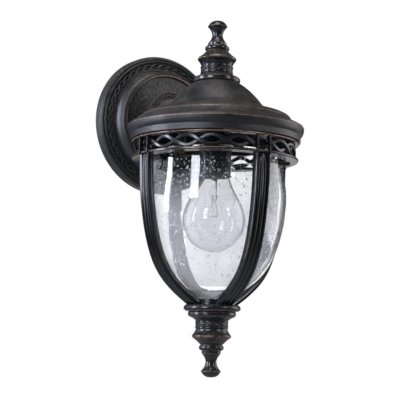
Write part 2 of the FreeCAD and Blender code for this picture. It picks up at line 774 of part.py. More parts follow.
def seat_stud():
    """Stud through the seat and the collar that the bottom finial screws onto."""
    return rod(2.5, 42.0, 72.8)


def seat_stud_nut():
    """Nut that holds the stud in the seat."""
    return hexagon(8.0, 70.6, 73.0, 2.5 + FIT)


def glass_side(shrink):
    """Side of the bowl from foot to neck, moved inwards: it follows the ribs, then draws in."""
    spline = inner_offset(rib_curve(), RIB_DEPTH + GLASS_GAP + shrink)
    span = spline.LastParameter - spline.FirstParameter
    side = []
    for part in (0.10, 0.20, 0.30, 0.42, 0.56, 0.70):
        point = spline.value(spline.FirstParameter + span * part)
        side.append((point.x, point.z))
    for radius, height in ((69.1, 167.0), (68.3, 179.0), (66.4, 190.5), (GLASS_NECK_R, 201.0)):
        side.append((radius - shrink, height))
    return side


def glass_bowl():
    """Acorn-shaped bowl of seeded glass with a flat foot and a straight neck under the flange."""
    foot = COLLAR_HIGH + 5.0
    outside = turned((0, foot), line(14.0, foot), curve(*glass_side(0)), line(GLASS_NECK_R, GLASS_RIM),
                     line(0, GLASS_RIM))
    floor = foot + GLASS_WALL + 0.6
    above = GLASS_RIM + 2.0
    inside = turned((0, floor), line(12.0, floor), curve(*glass_side(GLASS_WALL)),
                    line(GLASS_NECK_R - GLASS_WALL, above), line(0, above))
    bowl = outside.cut(inside)
    rim_edges = [edge for edge in bowl.Edges if edge.BoundBox.ZMin > GLASS_RIM - 0.01]
    return bowl.makeFillet(1.2, rim_edges)


# --- The set of nodes -----------------------------------------------------------------------
def wall_nodes():
    """Everything drawn with its depth from the wall."""
    return {
        "mounting_strap": mounting_strap(),
        "mounting_studs": mounting_studs(),
        "stud_lock_nuts": stud_lock_nuts(),
        "ground_screw": ground_screw(),
        "cap_nut_left": cap_nut(-1),
        "cap_nut_right": cap_nut(1),
        "backplate": backplate(),
        "wall_gasket": wall_gasket(),
        "wire_bushing": wire_bushing(),
        "arm_screws": arm_screws(),
        "arm_nipple": arm_nipple(),
        "arm_nipple_nuts": arm_nipple_nuts(),
    }


def lantern_nodes():
    """Everything drawn about the lantern's own axis."""
    nodes = {
        "roof": roof(),
        "top_finial": top_finial(),
        "roof_stud": roof_stud(),
        "roof_stud_nut": roof_stud_nut(),
        "lampholder_bridge": lampholder_bridge(),
        "bridge_screws": bridge_screws(),
        "socket_nipple": socket_nipple(),
        "socket_nipple_nut": socket_nipple_nut(),
        "socket_cap": socket_cap(),
        "socket_body": socket_body(),
        "screw_shell": screw_shell(),
        "centre_contact": centre_contact(),
        "bulb_envelope": bulb_envelope(),
        "bulb_base": bulb_base(),
        "bulb_insulator": bulb_insulator(),
        "bulb_contact": bulb_contact(),
        "bulb_stem": bulb_stem(),
        "bulb_filament": bulb_filament(),
        "gallery": gallery(),
        "base_collar": base_collar(),
        "rib_foot_screws": rib_foot_screws(),
        "glass_seat": glass_seat(),
        "glass_pad": glass_pad(),
        "seat_stud": seat_stud(),
        "seat_stud_nut": seat_stud_nut(),
        "glass_bowl": glass_bowl(),
        "bottom_finial": finial(),
    }
    strip = rib()
    for place, angle in RIB_ANGLES.items():
        nodes["rib_" + place] = turn_to(strip, angle)
    for number, angle in enumerate(SCREW_ANGLES, start=1):
        nodes[f"cage_screw_{number}"] = cage_screw(angle)
    return nodes


def main():
    """Build every node and write it."""
    os.makedirs("parts", exist_ok=True)
    for name, shape in wall_nodes().items():
        save(name, wall_piece(shape))
    save("arm", arm())
    for name, shape in lantern_nodes().items():
        save(name, lantern_piece(shape))


main()
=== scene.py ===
"""Looks of the outdoor wall lantern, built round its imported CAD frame.

Castings are drawn again as fine meshes with their relief: a braided ring on the backplate, braided
waists on the finials, a pierced gallery of crossing strands and reeded ribs. Lengths are millimetres
until lantern_points(), wall_points() or a piece's own place() carries them to the frame in metres.
Outlines are lists of bend() and flow() points: radius and height, or radius and depth off the wall.
"""
import json
import math

import bmesh
import bpy
import numpy as np
from mathutils import Matrix, Vector


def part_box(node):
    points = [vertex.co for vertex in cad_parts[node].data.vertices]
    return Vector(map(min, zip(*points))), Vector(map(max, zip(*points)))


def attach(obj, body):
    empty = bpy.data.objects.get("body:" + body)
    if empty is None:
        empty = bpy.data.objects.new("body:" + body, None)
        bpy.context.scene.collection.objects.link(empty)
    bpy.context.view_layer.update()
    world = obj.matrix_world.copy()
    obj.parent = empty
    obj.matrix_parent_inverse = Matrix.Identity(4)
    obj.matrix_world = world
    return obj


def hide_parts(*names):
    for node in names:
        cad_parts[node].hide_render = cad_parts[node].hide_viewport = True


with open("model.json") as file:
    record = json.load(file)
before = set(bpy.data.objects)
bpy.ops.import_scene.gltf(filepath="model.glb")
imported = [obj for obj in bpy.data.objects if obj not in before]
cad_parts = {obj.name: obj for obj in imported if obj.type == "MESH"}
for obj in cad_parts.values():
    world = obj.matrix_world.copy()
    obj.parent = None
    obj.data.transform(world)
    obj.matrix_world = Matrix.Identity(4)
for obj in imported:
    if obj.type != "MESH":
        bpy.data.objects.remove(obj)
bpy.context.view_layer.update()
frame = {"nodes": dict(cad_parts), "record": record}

MM = 0.001
TAU = 2 * math.pi
NODES = frame["nodes"]
SCENE = bpy.context.scene

# --- Places read from the frame ---------------------------------------------------------------
TIP_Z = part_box("bottom_finial")[0].z            # heights count from the tip of the lower finial
STUD_LOW, STUD_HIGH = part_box("roof_stud")
AXIS_Y = (STUD_LOW.y + STUD_HIGH.y) / 2         # the lantern's own vertical axis
OVERALL_HEIGHT = (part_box("top_finial")[1].z - TIP_Z) / MM
RIB_ANGLES = {"rib_front": 0.0, "rib_right": 90.0, "rib_rear": 180.0, "rib_left": 270.0}
SCREW_ANGLES = {"cage_screw_1": 60.0, "cage_screw_2": 180.0, "cage_screw_3": 300.0}
SCREW_CIRCLE = 69.8

# --- Sizes shared by several pieces -----------------------------------------------------------
FLANGE_FOOT = 205.8
FLANGE_TOP = 208.3
TOP_RING_FOOT = 221.9
RIB_DEPTH = 6.4
RIB_HALF_WIDTH = 7.5
RAIL_WIDTH = 1.3
RAIL_FACE, RAIL_BACK = 80.75, 77.0              # radii of the bare rails above the flange
GLASS_WALL = 3.0
SEED_DRAWS = 2700
GALLERY_EYES = 20
ARM_HEIGHT = 265.0                              # height of the arm's axis at the dome
RIB_LINE = [(16.0, 63.2), (27.0, 70.2), (39.5, 79.2), (51.8, 90.5), (61.4, 104.0), (68.2, 120.0),
            (73.2, 138.5), (76.8, 160.0), (78.8, 180.0), (79.7, FLANGE_FOOT)]


# --- Points -----------------------------------------------------------------------------------
def lantern_points(radius, angle, height):
    """Frame points from a radius, an angle in radians from the front towards +X, and a height."""
    x = radius * np.sin(angle)
    y = -radius * np.cos(angle)
    return np.stack([x * MM, y * MM + AXIS_Y, height * MM + TIP_Z], -1)


def wall_points(radius, angle, depth):
    """Frame points from a radius, an angle in radians from +X towards +Z, and a depth off the wall."""
    return np.stack([radius * np.cos(angle) * MM, -depth * MM, radius * np.sin(angle) * MM], -1)


def ripple(points, size, seed):
    """Smooth uneven field, mostly between -1 and 1, with bumps of about the given size."""
    draw = np.random.default_rng(seed)
    total = np.zeros(points.shape[:-1])
    waves = 14
    for _ in range(waves):
        direction = draw.normal(size=3)
        direction *= TAU / size / np.linalg.norm(direction) * draw.uniform(0.6, 1.5)
        total += np.sin(points @ direction + draw.uniform(0, TAU))
    return total / math.sqrt(waves)


# --- Outlines ---------------------------------------------------------------------------------
def bend(r, h, radius=0.35, wear=0.0):
    """A corner of an outline: its place, how much it is rounded, and how far the copper shows."""
    return (r, h, radius, wear)


def flow(*points):
    """Points of a soft curve: each is rounded as much as its neighbours allow."""
    return [bend(r, h, 99.0) for r, h in points]


def sampled(outline, closed=False, guard=0.3):
    """Rows of (r, h, wear) along an outline with its corners rounded by arcs."""
    rows = []
    count = len(outline)
    for index, (r, h, radius, wear) in enumerate(outline):
        here = np.array([r, h])
        ends = not closed and index in (0, count - 1)
        before = np.array(outline[index - 1][:2]) - here
        after = np.array(outline[(index + 1) % count][:2]) - here
        if ends or r < 1e-6:
            rows.append((r, h, wear))
            continue
        reach_before, reach_after = np.linalg.norm(before), np.linalg.norm(after)
        before, after = before / reach_before, after / reach_after
        turn = math.pi - math.acos(max(-1.0, min(1.0, float(before @ after))))
        if turn < 0.01:
            rows.append((r, h, wear))
            continue
        cut = min(radius * math.tan(turn / 2), 0.49 * min(reach_before, reach_after))
        steps = 3 + int(turn / 0.2)
        arc = []
        for step in range(steps + 1):
            t = step / steps
            arc.append(here + before * cut * (1 - t) ** 2 + after * cut * t ** 2)
        if wear and cut + guard < 0.49 * reach_before:
            rows.append((*(here + before * (cut + guard)), 0.0))
        rows += [(*point, wear) for point in arc]
        if wear and cut + guard < 0.49 * reach_after:
            rows.append((*(here + after * (cut + guard)), 0.0))
    return np.array(rows)


def refined(rows, low, high, step, column=1):
    """The rows with extra ones inside a stretch of height or radius, for relief."""
    result = [rows[0]]
    for before, after in zip(rows[:-1], rows[1:]):
        lower, upper = sorted((before[column], after[column]))
        inside = low - 0.1 <= lower and upper <= high + 0.1
        span = np.linalg.norm(after[:2] - before[:2])
        pieces = max(1, int(span / step)) if inside else 1
        for part in range(1, pieces + 1):
            result.append(before + (after - before) * part / pieces)
    return np.array(result)


def soft_line(points, count):
    """A smooth line through the points, sampled evenly in parameter."""
    points = np.array(points, float)
    padded = np.vstack([2 * points[0] - points[1], points, 2 * points[-1] - points[-2]])
    at = np.linspace(0, len(points) - 1, count)
    index = np.minimum(at.astype(int), len(points) - 2)
    t = (at - index)[:, None]
    p0, p1, p2, p3 = (padded[index + k] for k in range(4))
    return 0.5 * (2 * p1 + (p2 - p0) * t + (2 * p0 - 5 * p1 + 4 * p2 - p3) * t ** 2
                  + (3 * p1 - p0 - 3 * p2 + p3) * t ** 3)


def normals_2d(line):
    """Unit normals of a line in (r, h), on the side away from the axis."""
    tangent = np.gradient(line, axis=0)
    tangent /= np.linalg.norm(tangent, axis=1)[:, None]
    return np.stack([tangent[:, 1], -tangent[:, 0]], -1)


def braid(along, across, half_height, strand, pitch):
    """Height, 0 to 1, of a two-strand braid in relief. along counts its eyes from an eye's middle."""
    height = np.zeros(np.broadcast(along, across).shape)
    for side in (1, -1):
        centre = side * half_height * np.cos(math.pi * along)
        slope = half_height * math.pi / pitch * np.sin(math.pi * along)
        distance = np.abs(across - centre) / np.sqrt(1 + slope ** 2) / strand
        round_top = np.sqrt(np.clip(1 - distance ** 2, 0, 1))
        level = 0.78 + 0.22 * side * np.sin(math.pi * along)
        height = np.maximum(height, round_top * level)
    return height


# --- Meshes -----------------------------------------------------------------------------------
def grid_faces(rows, columns, wrap_rows=False, wrap_columns=False, start=0):
    """Quads over a grid of vertices that is numbered row by row."""
    i = np.arange(rows if wrap_rows else rows - 1)
    j = np.arange(columns if wrap_columns else columns - 1)
    i, j = (a.ravel() for a in np.meshgrid(i, j, indexing="ij"))
    i2, j2 = (i + 1) % rows, (j + 1) % columns
    quads = np.stack([i * columns + j, i * columns + j2, i2 * columns + j2, i2 * columns + j], -1)
    return (quads + start).tolist()


class Shell:
    """Vertices, faces, copper wear and painted recess shade of one piece, gathered part by part."""

    def __init__(self):
        self.points, self.faces, self.wear, self.count = [], [], [], 0

    def add(self, points, faces, wear=None):
        points = np.asarray(points, float).reshape(-1, 3)
        self.faces += [[index + self.count for index in face] for face in faces]
        self.points.append(points)
        self.wear.append(np.zeros(len(points)) if wear is None else np.asarray(wear, float).ravel())
        self.count += len(points)

    def lathe(self, rows, segments, place, relief=None, closed=False):
        """Turn rows of (r, h, wear) about the piece's axis. Rows on the axis become one point."""
        angle = np.linspace(0, TAU, segments, endpoint=False)
        rows = np.asarray(rows, float)
        poles = [k for k in (0, len(rows) - 1) if not closed and rows[k, 0] < 1e-6]
        rings = rows[[k for k in range(len(rows)) if k not in poles]]
        r, h = (np.repeat(rings[:, k:k + 1], segments, 1) for k in (0, 1))
        a = np.repeat(angle[None, :], len(rings), 0)
        if relief is not None:
            r, h = relief(r, a, h)
        points = place(r, a, h).reshape(-1, 3)
        faces = grid_faces(len(rings), segments, closed, True)
        wear = np.repeat(rings[:, 2], segments)
        for pole in poles:
            ring = 0 if pole == 0 else (len(rings) - 1) * segments
            tip = len(points)
            points = np.vstack([points, place(np.array([0.0]), np.array([0.0]), rows[pole:pole + 1, 1])])
            wear = np.append(wear, 0.0)
            for k in range(segments):
                pair = [ring + k, ring + (k + 1) % segments]
                faces.append([tip] + (pair[::-1] if pole == 0 else pair))
        self.add(points, faces, wear)

    def tube(self, path, across, sides, wrap=False):
        """Sweep a ring of sides round a path. across(k) gives the offsets from path point k."""
        rings = np.array([path[k] + across(k) for k in range(len(path))])
        faces = grid_faces(len(path), sides, wrap, True)
        if not wrap:
            last = (len(path) - 1) * sides
            faces.append(list(range(sides))[::-1])
            faces.append([last + k for k in range(sides)])
        self.add(rings.reshape(-1, 3), faces)

    def slab(self, top, bottom, wear=None):
        """A closed body between two grids of the same shape, joined round their borders."""
        rows, columns = top.shape[:2]
        size = rows * columns
        faces = grid_faces(rows, columns) + grid_faces(rows, columns, start=size)
        border = [k for k in range(columns)]
        border += [(k + 1) * columns - 1 for k in range(1, rows)]
        border += [size - 1 - k for k in range(1, columns)]
        border += [k * columns for k in range(rows - 2, 0, -1)]
        for here, there in zip(border, border[1:] + border[:1]):
            faces.append([here, there, there + size, here + size])
        both = None if wear is None else np.concatenate([np.ravel(wear), np.zeros(size)])
        self.add(np.concatenate([top.reshape(-1, 3), bottom.reshape(-1, 3)]), faces, both)


def linked_object(name, shell):
    """A new object in the scene with the shell's mesh."""
    mesh = bpy.data.meshes.new(name)
    mesh.from_pydata(np.vstack(shell.points).tolist(), [], shell.faces)
    thing = bpy.data.objects.new(name, mesh)
    SCENE.collection.objects.link(thing)
    return thing


def outward(thing):
    """Turn the faces of every closed part to face outwards."""
    work = bmesh.new()
    work.from_mesh(thing.data)
    bmesh.ops.recalc_face_normals(work, faces=work.faces)
    work.to_mesh(thing.data)
    work.free()


def make_piece(name, shell, body, material, replaces=()):
    """One shown piece from a shell: smooth, riding its body and material."""
    piece = linked_object(name, shell)
    mesh = piece.data
    # One attribute: copper wear above 0, painted recess shade below 0.
    attribute = mesh.attributes.new("wear", "FLOAT", "POINT")
    attribute.data.foreach_set("value", np.concatenate(shell.wear).astype(np.float32))
    mesh.polygons.foreach_set("use_smooth", [True] * len(mesh.polygons))
    outward(piece)
    mesh.materials.append(material)
    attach(piece, body)
    if replaces:
        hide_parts(*replaces)
    return piece


def carve(piece, cutter):
    """Cut a shape out of a piece, and drop the cutter."""
    change = piece.modifiers.new("carve", "BOOLEAN")
    change.operation = "DIFFERENCE"
    change.solver = "EXACT"
    change.object = cutter
    bpy.context.view_layer.update()
    carved = piece.evaluated_get(bpy.context.evaluated_depsgraph_get())
    mesh = bpy.data.meshes.new_from_object(carved)
    piece.modifiers.clear()
    piece.data = mesh
    bpy.data.objects.remove(cutter)


def drills(places, low, high, sides=48):
    """Rods along Y for carving, from (x, z, radius) in millimetres."""
    shell = Shell()
    angle = np.linspace(0, TAU, sides, endpoint=False)
    caps = [list(range(sides))[::-1], [sides + k for k in range(sides)]]
    for x, z, radius in places:
        across, up = x + radius * np.cos(angle), z + radius * np.sin(angle)
        ends = [np.stack([across, np.full(sides, y), up], -1) for y in (low, high)]
        shell.add(np.concatenate(ends) * MM, grid_faces(2, sides, False, True) + caps)
    rods = linked_object("cutter", shell)
    outward(rods)
    return rods


# --- Materials --------------------------------------------------------------------------------
def node_maker(owner):
    """A short way to add and link the shader nodes of a material or world.

    in_NAME or in_NUMBER links an input to another node's output, or sets it; other words set the
    node itself.
    """
    tree = owner.node_tree

    def add(kind, **settings):
        node = tree.nodes.new(kind)
        for key, value in settings.items():
            if key.startswith("in_"):
                which = key[3:]
                socket = node.inputs[int(which) if which.isdigit() else which.replace("_", " ")]
                if isinstance(value, bpy.types.NodeSocket):
                    tree.links.new(value, socket)
                else:
                    socket.default_value = value
            else:
                setattr(node, key, value)
        return node

    return add


def new_material(name):
    """An empty material and its node maker."""
    material = bpy.data.materials.new(name)
    material.use_nodes = True
    material.node_tree.nodes.clear()
    return material, node_maker(material)


def noise(add, coords, scale, detail=4.0, rough=0.6):
    node = add("ShaderNodeTexNoise", in_Vector=coords, in_Scale=scale, in_Detail=detail, in_Roughness=rough)
    return node.outputs[0]


def ramp(add, value, low, high, low_value=0.0, high_value=1.0):
    """Map a value's stretch to another, clamped."""
    node = add("ShaderNodeMapRange", in_0=value, in_1=low, in_2=high, in_3=low_value, in_4=high_value)
    return node.outputs[0]


def math_node(add, operation, a, b):
    return add("ShaderNodeMath", operation=operation, in_0=a, in_1=b).outputs[0]


def times(add, a, b):
    return math_node(add, "MULTIPLY", a, b)


def mix_colour(add, factor, a, b):
    return add("ShaderNodeMix", data_type="RGBA", in_0=factor, in_6=a, in_7=b).outputs[2]


def lamps_pass(add, glass, tint):
    """Glass for the eye and its reflections; shadow and diffuse rays pass straight through it."""
    through = add("ShaderNodeBsdfTransparent", in_Color=tint)
    ray = add("ShaderNodeLightPath")
    passing = math_node(add, "MAXIMUM", ray.outputs["Is Shadow Ray"], ray.outputs["Is Diffuse Ray"])
    mixed = add("ShaderNodeMixShader", in_0=passing, in_1=glass.outputs[0], in_2=through.outputs[0])
    add("ShaderNodeOutputMaterial", in_Surface=mixed.outputs[0])


def seen_directly(add):
    """1 for rays that have not bounced off a glossy or matt surface yet, else 0."""
    ray = add("ShaderNodeLightPath")
    bounces = math_node(add, "ADD", ray.outputs["Glossy Depth"], ray.outputs["Diffuse Depth"])
    return math_node(add, "LESS_THAN", bounces, 0.5)


def bronze(name, dust=1.0, grain=1.0, dust_on_sides=0.10, gloss=0.0, dull=0.45):
    """Near-black rubbed bronze: cast grain, dusty tops, rubbed copper, painted shade in its recesses.

    dust and grain scale the powder and the bumps, gloss lowers the roughness, and dull is the
    roughness added in the recesses, where the mesh's copper-and-shade attribute is below 0; there
    the colour is also darkened towards black as painted shade.
    """
    material, add = new_material(name)
    coords = add("ShaderNodeTexCoord")
    place = coords.outputs["Object"]
    fine = noise(add, place, 2100.0, 2.0)
    speckle = noise(add, place, 820.0, 4.0, 0.75)
    cloud = noise(add, place, 60.0, 4.0)
    up = add("ShaderNodeSeparateXYZ", in_0=coords.outputs["Normal"]).outputs[2]
    upward = ramp(add, up, 0.10, 0.85)
    patch = ramp(add, cloud, 0.36, 0.66, 0.25, 1.0)
    settled = math_node(add, "ADD", times(add, upward, 0.9), dust_on_sides)
    powder = times(add, times(add, ramp(add, speckle, 0.44, 0.60), patch), settled)
    paint = mix_colour(add, cloud, (0.0040, 0.0044, 0.0065, 1), (0.0085, 0.0087, 0.0115, 1))
    paint = mix_colour(add, times(add, powder, dust), paint, (0.125, 0.110, 0.095, 1))
    wear = add("ShaderNodeAttribute", attribute_name="wear").outputs["Fac"]
    rubbed = times(add, wear, ramp(add, noise(add, place, 210.0, 3.0), 0.36, 0.60, 0.05, 1.0))
    rubbed = math_node(add, "MAXIMUM", math_node(add, "MINIMUM", rubbed, 1.0), 0.0)
    # Painted shade: values below 0 of the mesh's attribute mark recesses, made darker and duller.
    recess_shade = ramp(add, wear, 0.0, -1.0)
    copper = mix_colour(add, speckle, (0.28, 0.125, 0.070, 1), (0.70, 0.43, 0.30, 1))
    # Painted shade: the recess colour is pulled towards near-black.
    paint = mix_colour(add, times(add, recess_shade, 0.9), paint, (0.0012, 0.0012, 0.0014, 1))
    colour = mix_colour(add, rubbed, paint, copper)
    rough = ramp(add, speckle, 0.3, 0.7, 0.27 - gloss, 0.40 - gloss)
    rough = math_node(add, "ADD", rough, times(add, powder, 0.25))
    rough = math_node(add, "ADD", rough, times(add, recess_shade, dull))
    bump = add("ShaderNodeBump", in_Strength=0.55 * grain, in_Distance=0.0004, in_Height=speckle)
    bump = add("ShaderNodeBump", in_Strength=0.30 * grain, in_Distance=0.00012, in_Height=fine,
               in_Normal=bump.outputs[0])
    shader = add("ShaderNodeBsdfPrincipled", in_Base_Color=colour, in_Roughness=rough,
                 in_Normal=bump.outputs[0], in_Metallic=times(add, rubbed, 0.6))
    shader.inputs["Specular IOR Level"].default_value = 0.6
    add("ShaderNodeOutputMaterial", in_Surface=shader.outputs[0])
    return material


def metal(name, light, dark, roughness, scratch=400.0):
    """Plated or turned metal with faint clouding and fine tooling marks."""
    material, add = new_material(name)
    place = add("ShaderNodeTexCoord").outputs["Object"]
    cloud = noise(add, place, 180.0, 4.0)
    colour = mix_colour(add, cloud, dark, light)
    lines = noise(add, place, scratch, 6.0, 0.75)
    bump = add("ShaderNodeBump", in_Strength=0.15, in_Distance=0.0001, in_Height=lines)
    shader = add("ShaderNodeBsdfPrincipled", in_Base_Color=colour, in_Normal=bump.outputs[0],
                 in_Roughness=ramp(add, cloud, 0.3, 0.7, roughness - 0.06, roughness + 0.08))
    shader.inputs["Metallic"].default_value = 1.0
    add("ShaderNodeOutputMaterial", in_Surface=shader.outputs[0])
    return material


def plastic(name, light, dark, roughness, grain=700.0, strength=0.2):
    """Moulded plastic, rubber or foam with a fine skin."""
    material, add = new_material(name)
    place = add("ShaderNodeTexCoord").outputs["Object"]
    skin = noise(add, place, grain, 4.0)
    colour = mix_colour(add, noise(add, place, 90.0, 3.0), dark, light)
    bump = add("ShaderNodeBump", in_Strength=strength, in_Distance=0.00015, in_Height=skin)
    shader = add("ShaderNodeBsdfPrincipled", in_Base_Color=colour, in_Normal=bump.outputs[0],
                 in_Roughness=ramp(add, skin, 0.3, 0.7, roughness - 0.05, roughness + 0.07))
    add("ShaderNodeOutputMaterial", in_Surface=shader.outputs[0])
    return material


def seed_glass():
    """Skin of an air bubble in glass; its pale white diffuse part is a painted reflection, standing in for
    the bright reflections of real bubbles.
    """
    material, add = new_material("seed_air")
    place = add("ShaderNodeTexCoord").outputs["Object"]
    wave = noise(add, place, 900.0, 2.0)
    bump = add("ShaderNodeBump", in_Strength=0.05, in_Distance=0.0001, in_Height=wave)
    # Painted reflection: a white base colour, shown where the transmission weight falls short of 1.
    glass = add("ShaderNodeBsdfPrincipled", in_Base_Color=(0.95, 0.96, 0.97, 1), in_Normal=bump.outputs[0])
    glass.inputs["Roughness"].default_value = 0.08
    glass.inputs["IOR"].default_value = 1.30
    glass.inputs["Transmission Weight"].default_value = 0.45
    lamps_pass(add, glass, (1, 1, 1, 1))
    return material


def clear_glass(name, wave_size, wave, tint, painted_reflection, reflection_foot, reflection_top):
    """Clear glass with a faint surface wave, and a painted reflection: a pale, less clear film that fades out
    up to a height.
    """
    material, add = new_material(name)
    place = add("ShaderNodeTexCoord").outputs["Object"]
    height = add("ShaderNodeSeparateXYZ", in_0=place).outputs[2]
    # Painted reflection: the glass is made paler and less clear below a height.
    reflection_veil = ramp(add, height, reflection_foot * MM + TIP_Z, reflection_top * MM + TIP_Z, painted_reflection, 0.0)
    reflection_veil = times(add, reflection_veil, ramp(add, noise(add, place, 45.0, 3.0), 0.3, 0.7, 0.6, 1.3))
    waves = noise(add, place, wave_size, 2.0)
    bump = add("ShaderNodeBump", in_Strength=wave, in_Distance=0.0001, in_Height=waves)
    glass = add("ShaderNodeBsdfPrincipled", in_Base_Color=tint, in_Normal=bump.outputs[0],
                in_Transmission_Weight=math_node(add, "SUBTRACT", 1.0, reflection_veil))
    glass.inputs["Roughness"].default_value = 0.0
    glass.inputs["IOR"].default_value = 1.5
    lamps_pass(add, glass, tint)
    return material


BRONZE = bronze("bronze_casting", 0.8, 0.35, 0.05, 0.11)
RIB_BRONZE = bronze("bronze_rib", 0.5, 0.12, 0.04, 0.15, -0.04)
ROOF_BRONZE = bronze("bronze_roof", 1.3, 1.2)
PLATE_BRONZE = bronze("bronze_plate", 0.9, 1.0, 0.36)
DISC_BRONZE = bronze("bronze_disc", 1.5, 1.5, 0.72)
ARM_BRONZE = bronze("bronze_arm", 1.7, 1.4, 1.0)
ZINC = metal("zinc_plate", (0.62, 0.62, 0.58, 1), (0.42, 0.41, 0.36, 1), 0.34)
BRASS = metal("brass", (0.72, 0.52, 0.24, 1), (0.48, 0.32, 0.13, 1), 0.32)
BROWN_SCREW = metal("brown_screw", (0.105, 0.066, 0.044, 1), (0.045, 0.030, 0.022, 1), 0.45, 900.0)
LAMP_CAP = metal("lamp_cap", (0.78, 0.77, 0.73, 1), (0.58, 0.56, 0.50, 1), 0.28)
TUNGSTEN = metal("tungsten", (0.20, 0.19, 0.18, 1), (0.08, 0.075, 0.07, 1), 0.4)
GREEN = metal("green_screw", (0.06, 0.30, 0.10, 1), (0.03, 0.17, 0.05, 1), 0.38)
PHENOLIC = plastic("black_phenolic", (0.007, 0.008, 0.012, 1), (0.004, 0.0045, 0.006, 1), 0.26)
FOAM = plastic("foam", (0.035, 0.035, 0.036, 1), (0.015, 0.015, 0.016, 1), 0.85, 1200.0, 0.9)
SILICONE = plastic("silicone", (0.50, 0.50, 0.47, 1), (0.38, 0.38, 0.35, 1), 0.45)
# Both glasses carry a painted reflection: a pale film low down that fades out upwards.
BOWL_GLASS = clear_glass("seeded_glass", 60.0, 0.4, (0.975, 0.975, 0.985, 1), 0.13, 150.0, 190.0)
SEED_GLASS = seed_glass()
BULB_GLASS = clear_glass("bulb_glass", 40.0, 0.05, (0.925, 0.928, 0.940, 1), 0.09, 150.0, 188.0)
SLOT_MATERIALS = {"bronze": BRONZE, "zinc_steel": ZINC, "brass": BRASS, "dark_screw": BROWN_SCREW,
                  "phenolic": PHENOLIC, "seeded_glass": BOWL_GLASS, "bulb_glass": BULB_GLASS,
                  "lamp_cap": LAMP_CAP, "tungsten": TUNGSTEN, "foam": FOAM, "clear_rubber": SILICONE,
                  "green_screw": GREEN}


def dress_cad_nodes():
    """Give every CAD node the procedural material of its slot. The arm has one of its own."""
    for row in frame["record"]["subparts"]:
        node = NODES[row["node"]]
        node.data.materials.clear()
        own = ARM_BRONZE if row["node"] == "arm" else SLOT_MATERIALS[row["material_slot"]]
        node.data.materials.append(own)


# --- Finials ----------------------------------------------------------------------------------
FINIAL_OUTLINE = (
    [bend(0, 0)] + flow((4.4, 0.4), (7.6, 2.5)) + [bend(9.6, 5.9, 0.6, 0.25)]
    + flow((7.7, 7.8), (5.9, 10.8), (5.0, 15.0), (5.9, 18.2), (7.9, 21.0))
    + [bend(9.1, 22.6, 0.4, 0.7), bend(9.2, 25.0, 0.3, 0.6), bend(9.6, 25.3, 0.2)]
    + flow((11.3, 25.8), (11.9, 27.6), (11.6, 29.2)) + [bend(10.3, 30.4, 0.3, 0.5)]
    + flow((12.4, 32.4), (15.2, 35.1))
    + [bend(18.0, 37.0, 0.5, 0.9), bend(18.9, 38.5, 0.8, 0.55), bend(18.2, 39.8, 0.5)]
    + flow((16.7, 41.6), (15.7, 43.4))
    + [bend(15.1, 45.2, 0.4), bend(15.2, 45.8, 0.2), bend(15.9, 46.1, 0.3), bend(15.9, 46.9, 0.3),
       bend(15.1, 47.3, 0.2), bend(15.1, 51.3, 0.2), bend(15.9, 51.7, 0.3), bend(15.9, 52.5, 0.3),
       bend(15.2, 52.9, 0.2)]
    + flow((16.4, 54.1), (18.6, 55.6))
    + [bend(21.6, 56.8, 0.5, 0.85), bend(22.8, 58.2, 0.9), bend(22.8, 60.6, 0.5, 0.3),
       bend(22.3, 61.9, 0.3), bend(2.6, 61.9, 0.2), bend(2.6, 40.6, 0.2), bend(0, 40.0)]
)


def finial_waist(r, a, h):
    """Braid in relief round the waist, between its two beads."""
    eyes, waist, middle = 12, 15.1, 49.3
    lift = braid(a / TAU * eyes, h - middle, 1.35, 0.85, TAU * waist / eyes)
    return np.where((h > 47.2) & (h < 51.4), r + 0.75 * lift - 0.1, r), h


def finials():
    """The lower finial's tip is height 0; the upper one is the same casting the other way up."""
    rows = refined(sampled(FINIAL_OUTLINE), 47.3, 51.3, 0.22)
    shell = Shell()
    shell.lathe(rows, 264, lantern_points, finial_waist)
    make_piece("finial_bottom_casting", shell, "finial_bottom", BRONZE, ["bottom_finial"])
    shell = Shell()
    shell.lathe(rows, 264, lambda r, a, h: lantern_points(r, a, OVERALL_HEIGHT - h), finial_waist)
    make_piece("finial_top_casting", shell, "finial_top", BRONZE, ["top_finial"])


# --- Roof -------------------------------------------------------------------------------------
ROOF_OUTSIDE = (
    [bend(79.2, 224.3, 0.2), bend(81.9, 224.3, 0.3), bend(81.9, 229.9, 0.25), bend(82.5, 230.4, 0.2),
     bend(83.6, 231.2, 0.3)]
    + flow((84.5, 233.0), (84.95, 235.0)) + [bend(85.16, 237.1, 0.3, 1.1), bend(84.5, 238.8, 0.5)]
    + flow((83.0, 239.8), (80.0, 241.2), (75.6, 243.6))
    + [bend(72.8, 246.0, 0.3), bend(72.3, 247.3, 0.3, 1.1)]
    + flow((70.6, 249.4), (66.4, 251.3), (62.4, 252.5), (56.4, 254.2), (49.6, 256.6), (46.5, 258.6),
           (44.4, 261.0), (40.6, 265.8), (36.2, 270.6), (31.0, 275.5), (25.8, 279.4))
    + [bend(22.3, 281.4, 0.4), bend(21.8, 281.9, 0.3), bend(3.05, 281.9, 0.1)]
)
ROOF_INSIDE = (
    [bend(3.05, 278.4, 0.1), bend(21.4, 278.4, 1.0)]
    + flow((23.4, 277.6), (29.2, 273.4), (33.9, 268.9), (37.6, 264.6), (40.6, 260.2), (43.4, 256.6),
           (48.6, 253.8), (55.4, 251.7), (61.2, 250.0), (65.4, 248.4), (69.6, 245.0), (72.6, 241.6),
           (78.6, 239.0))
    + [bend(81.7, 237.0, 1.0)] + flow((82.4, 235.6), (81.6, 233.0))
    + [bend(79.2, 231.0, 0.5), bend(79.2, 224.3, 0.2)]
)

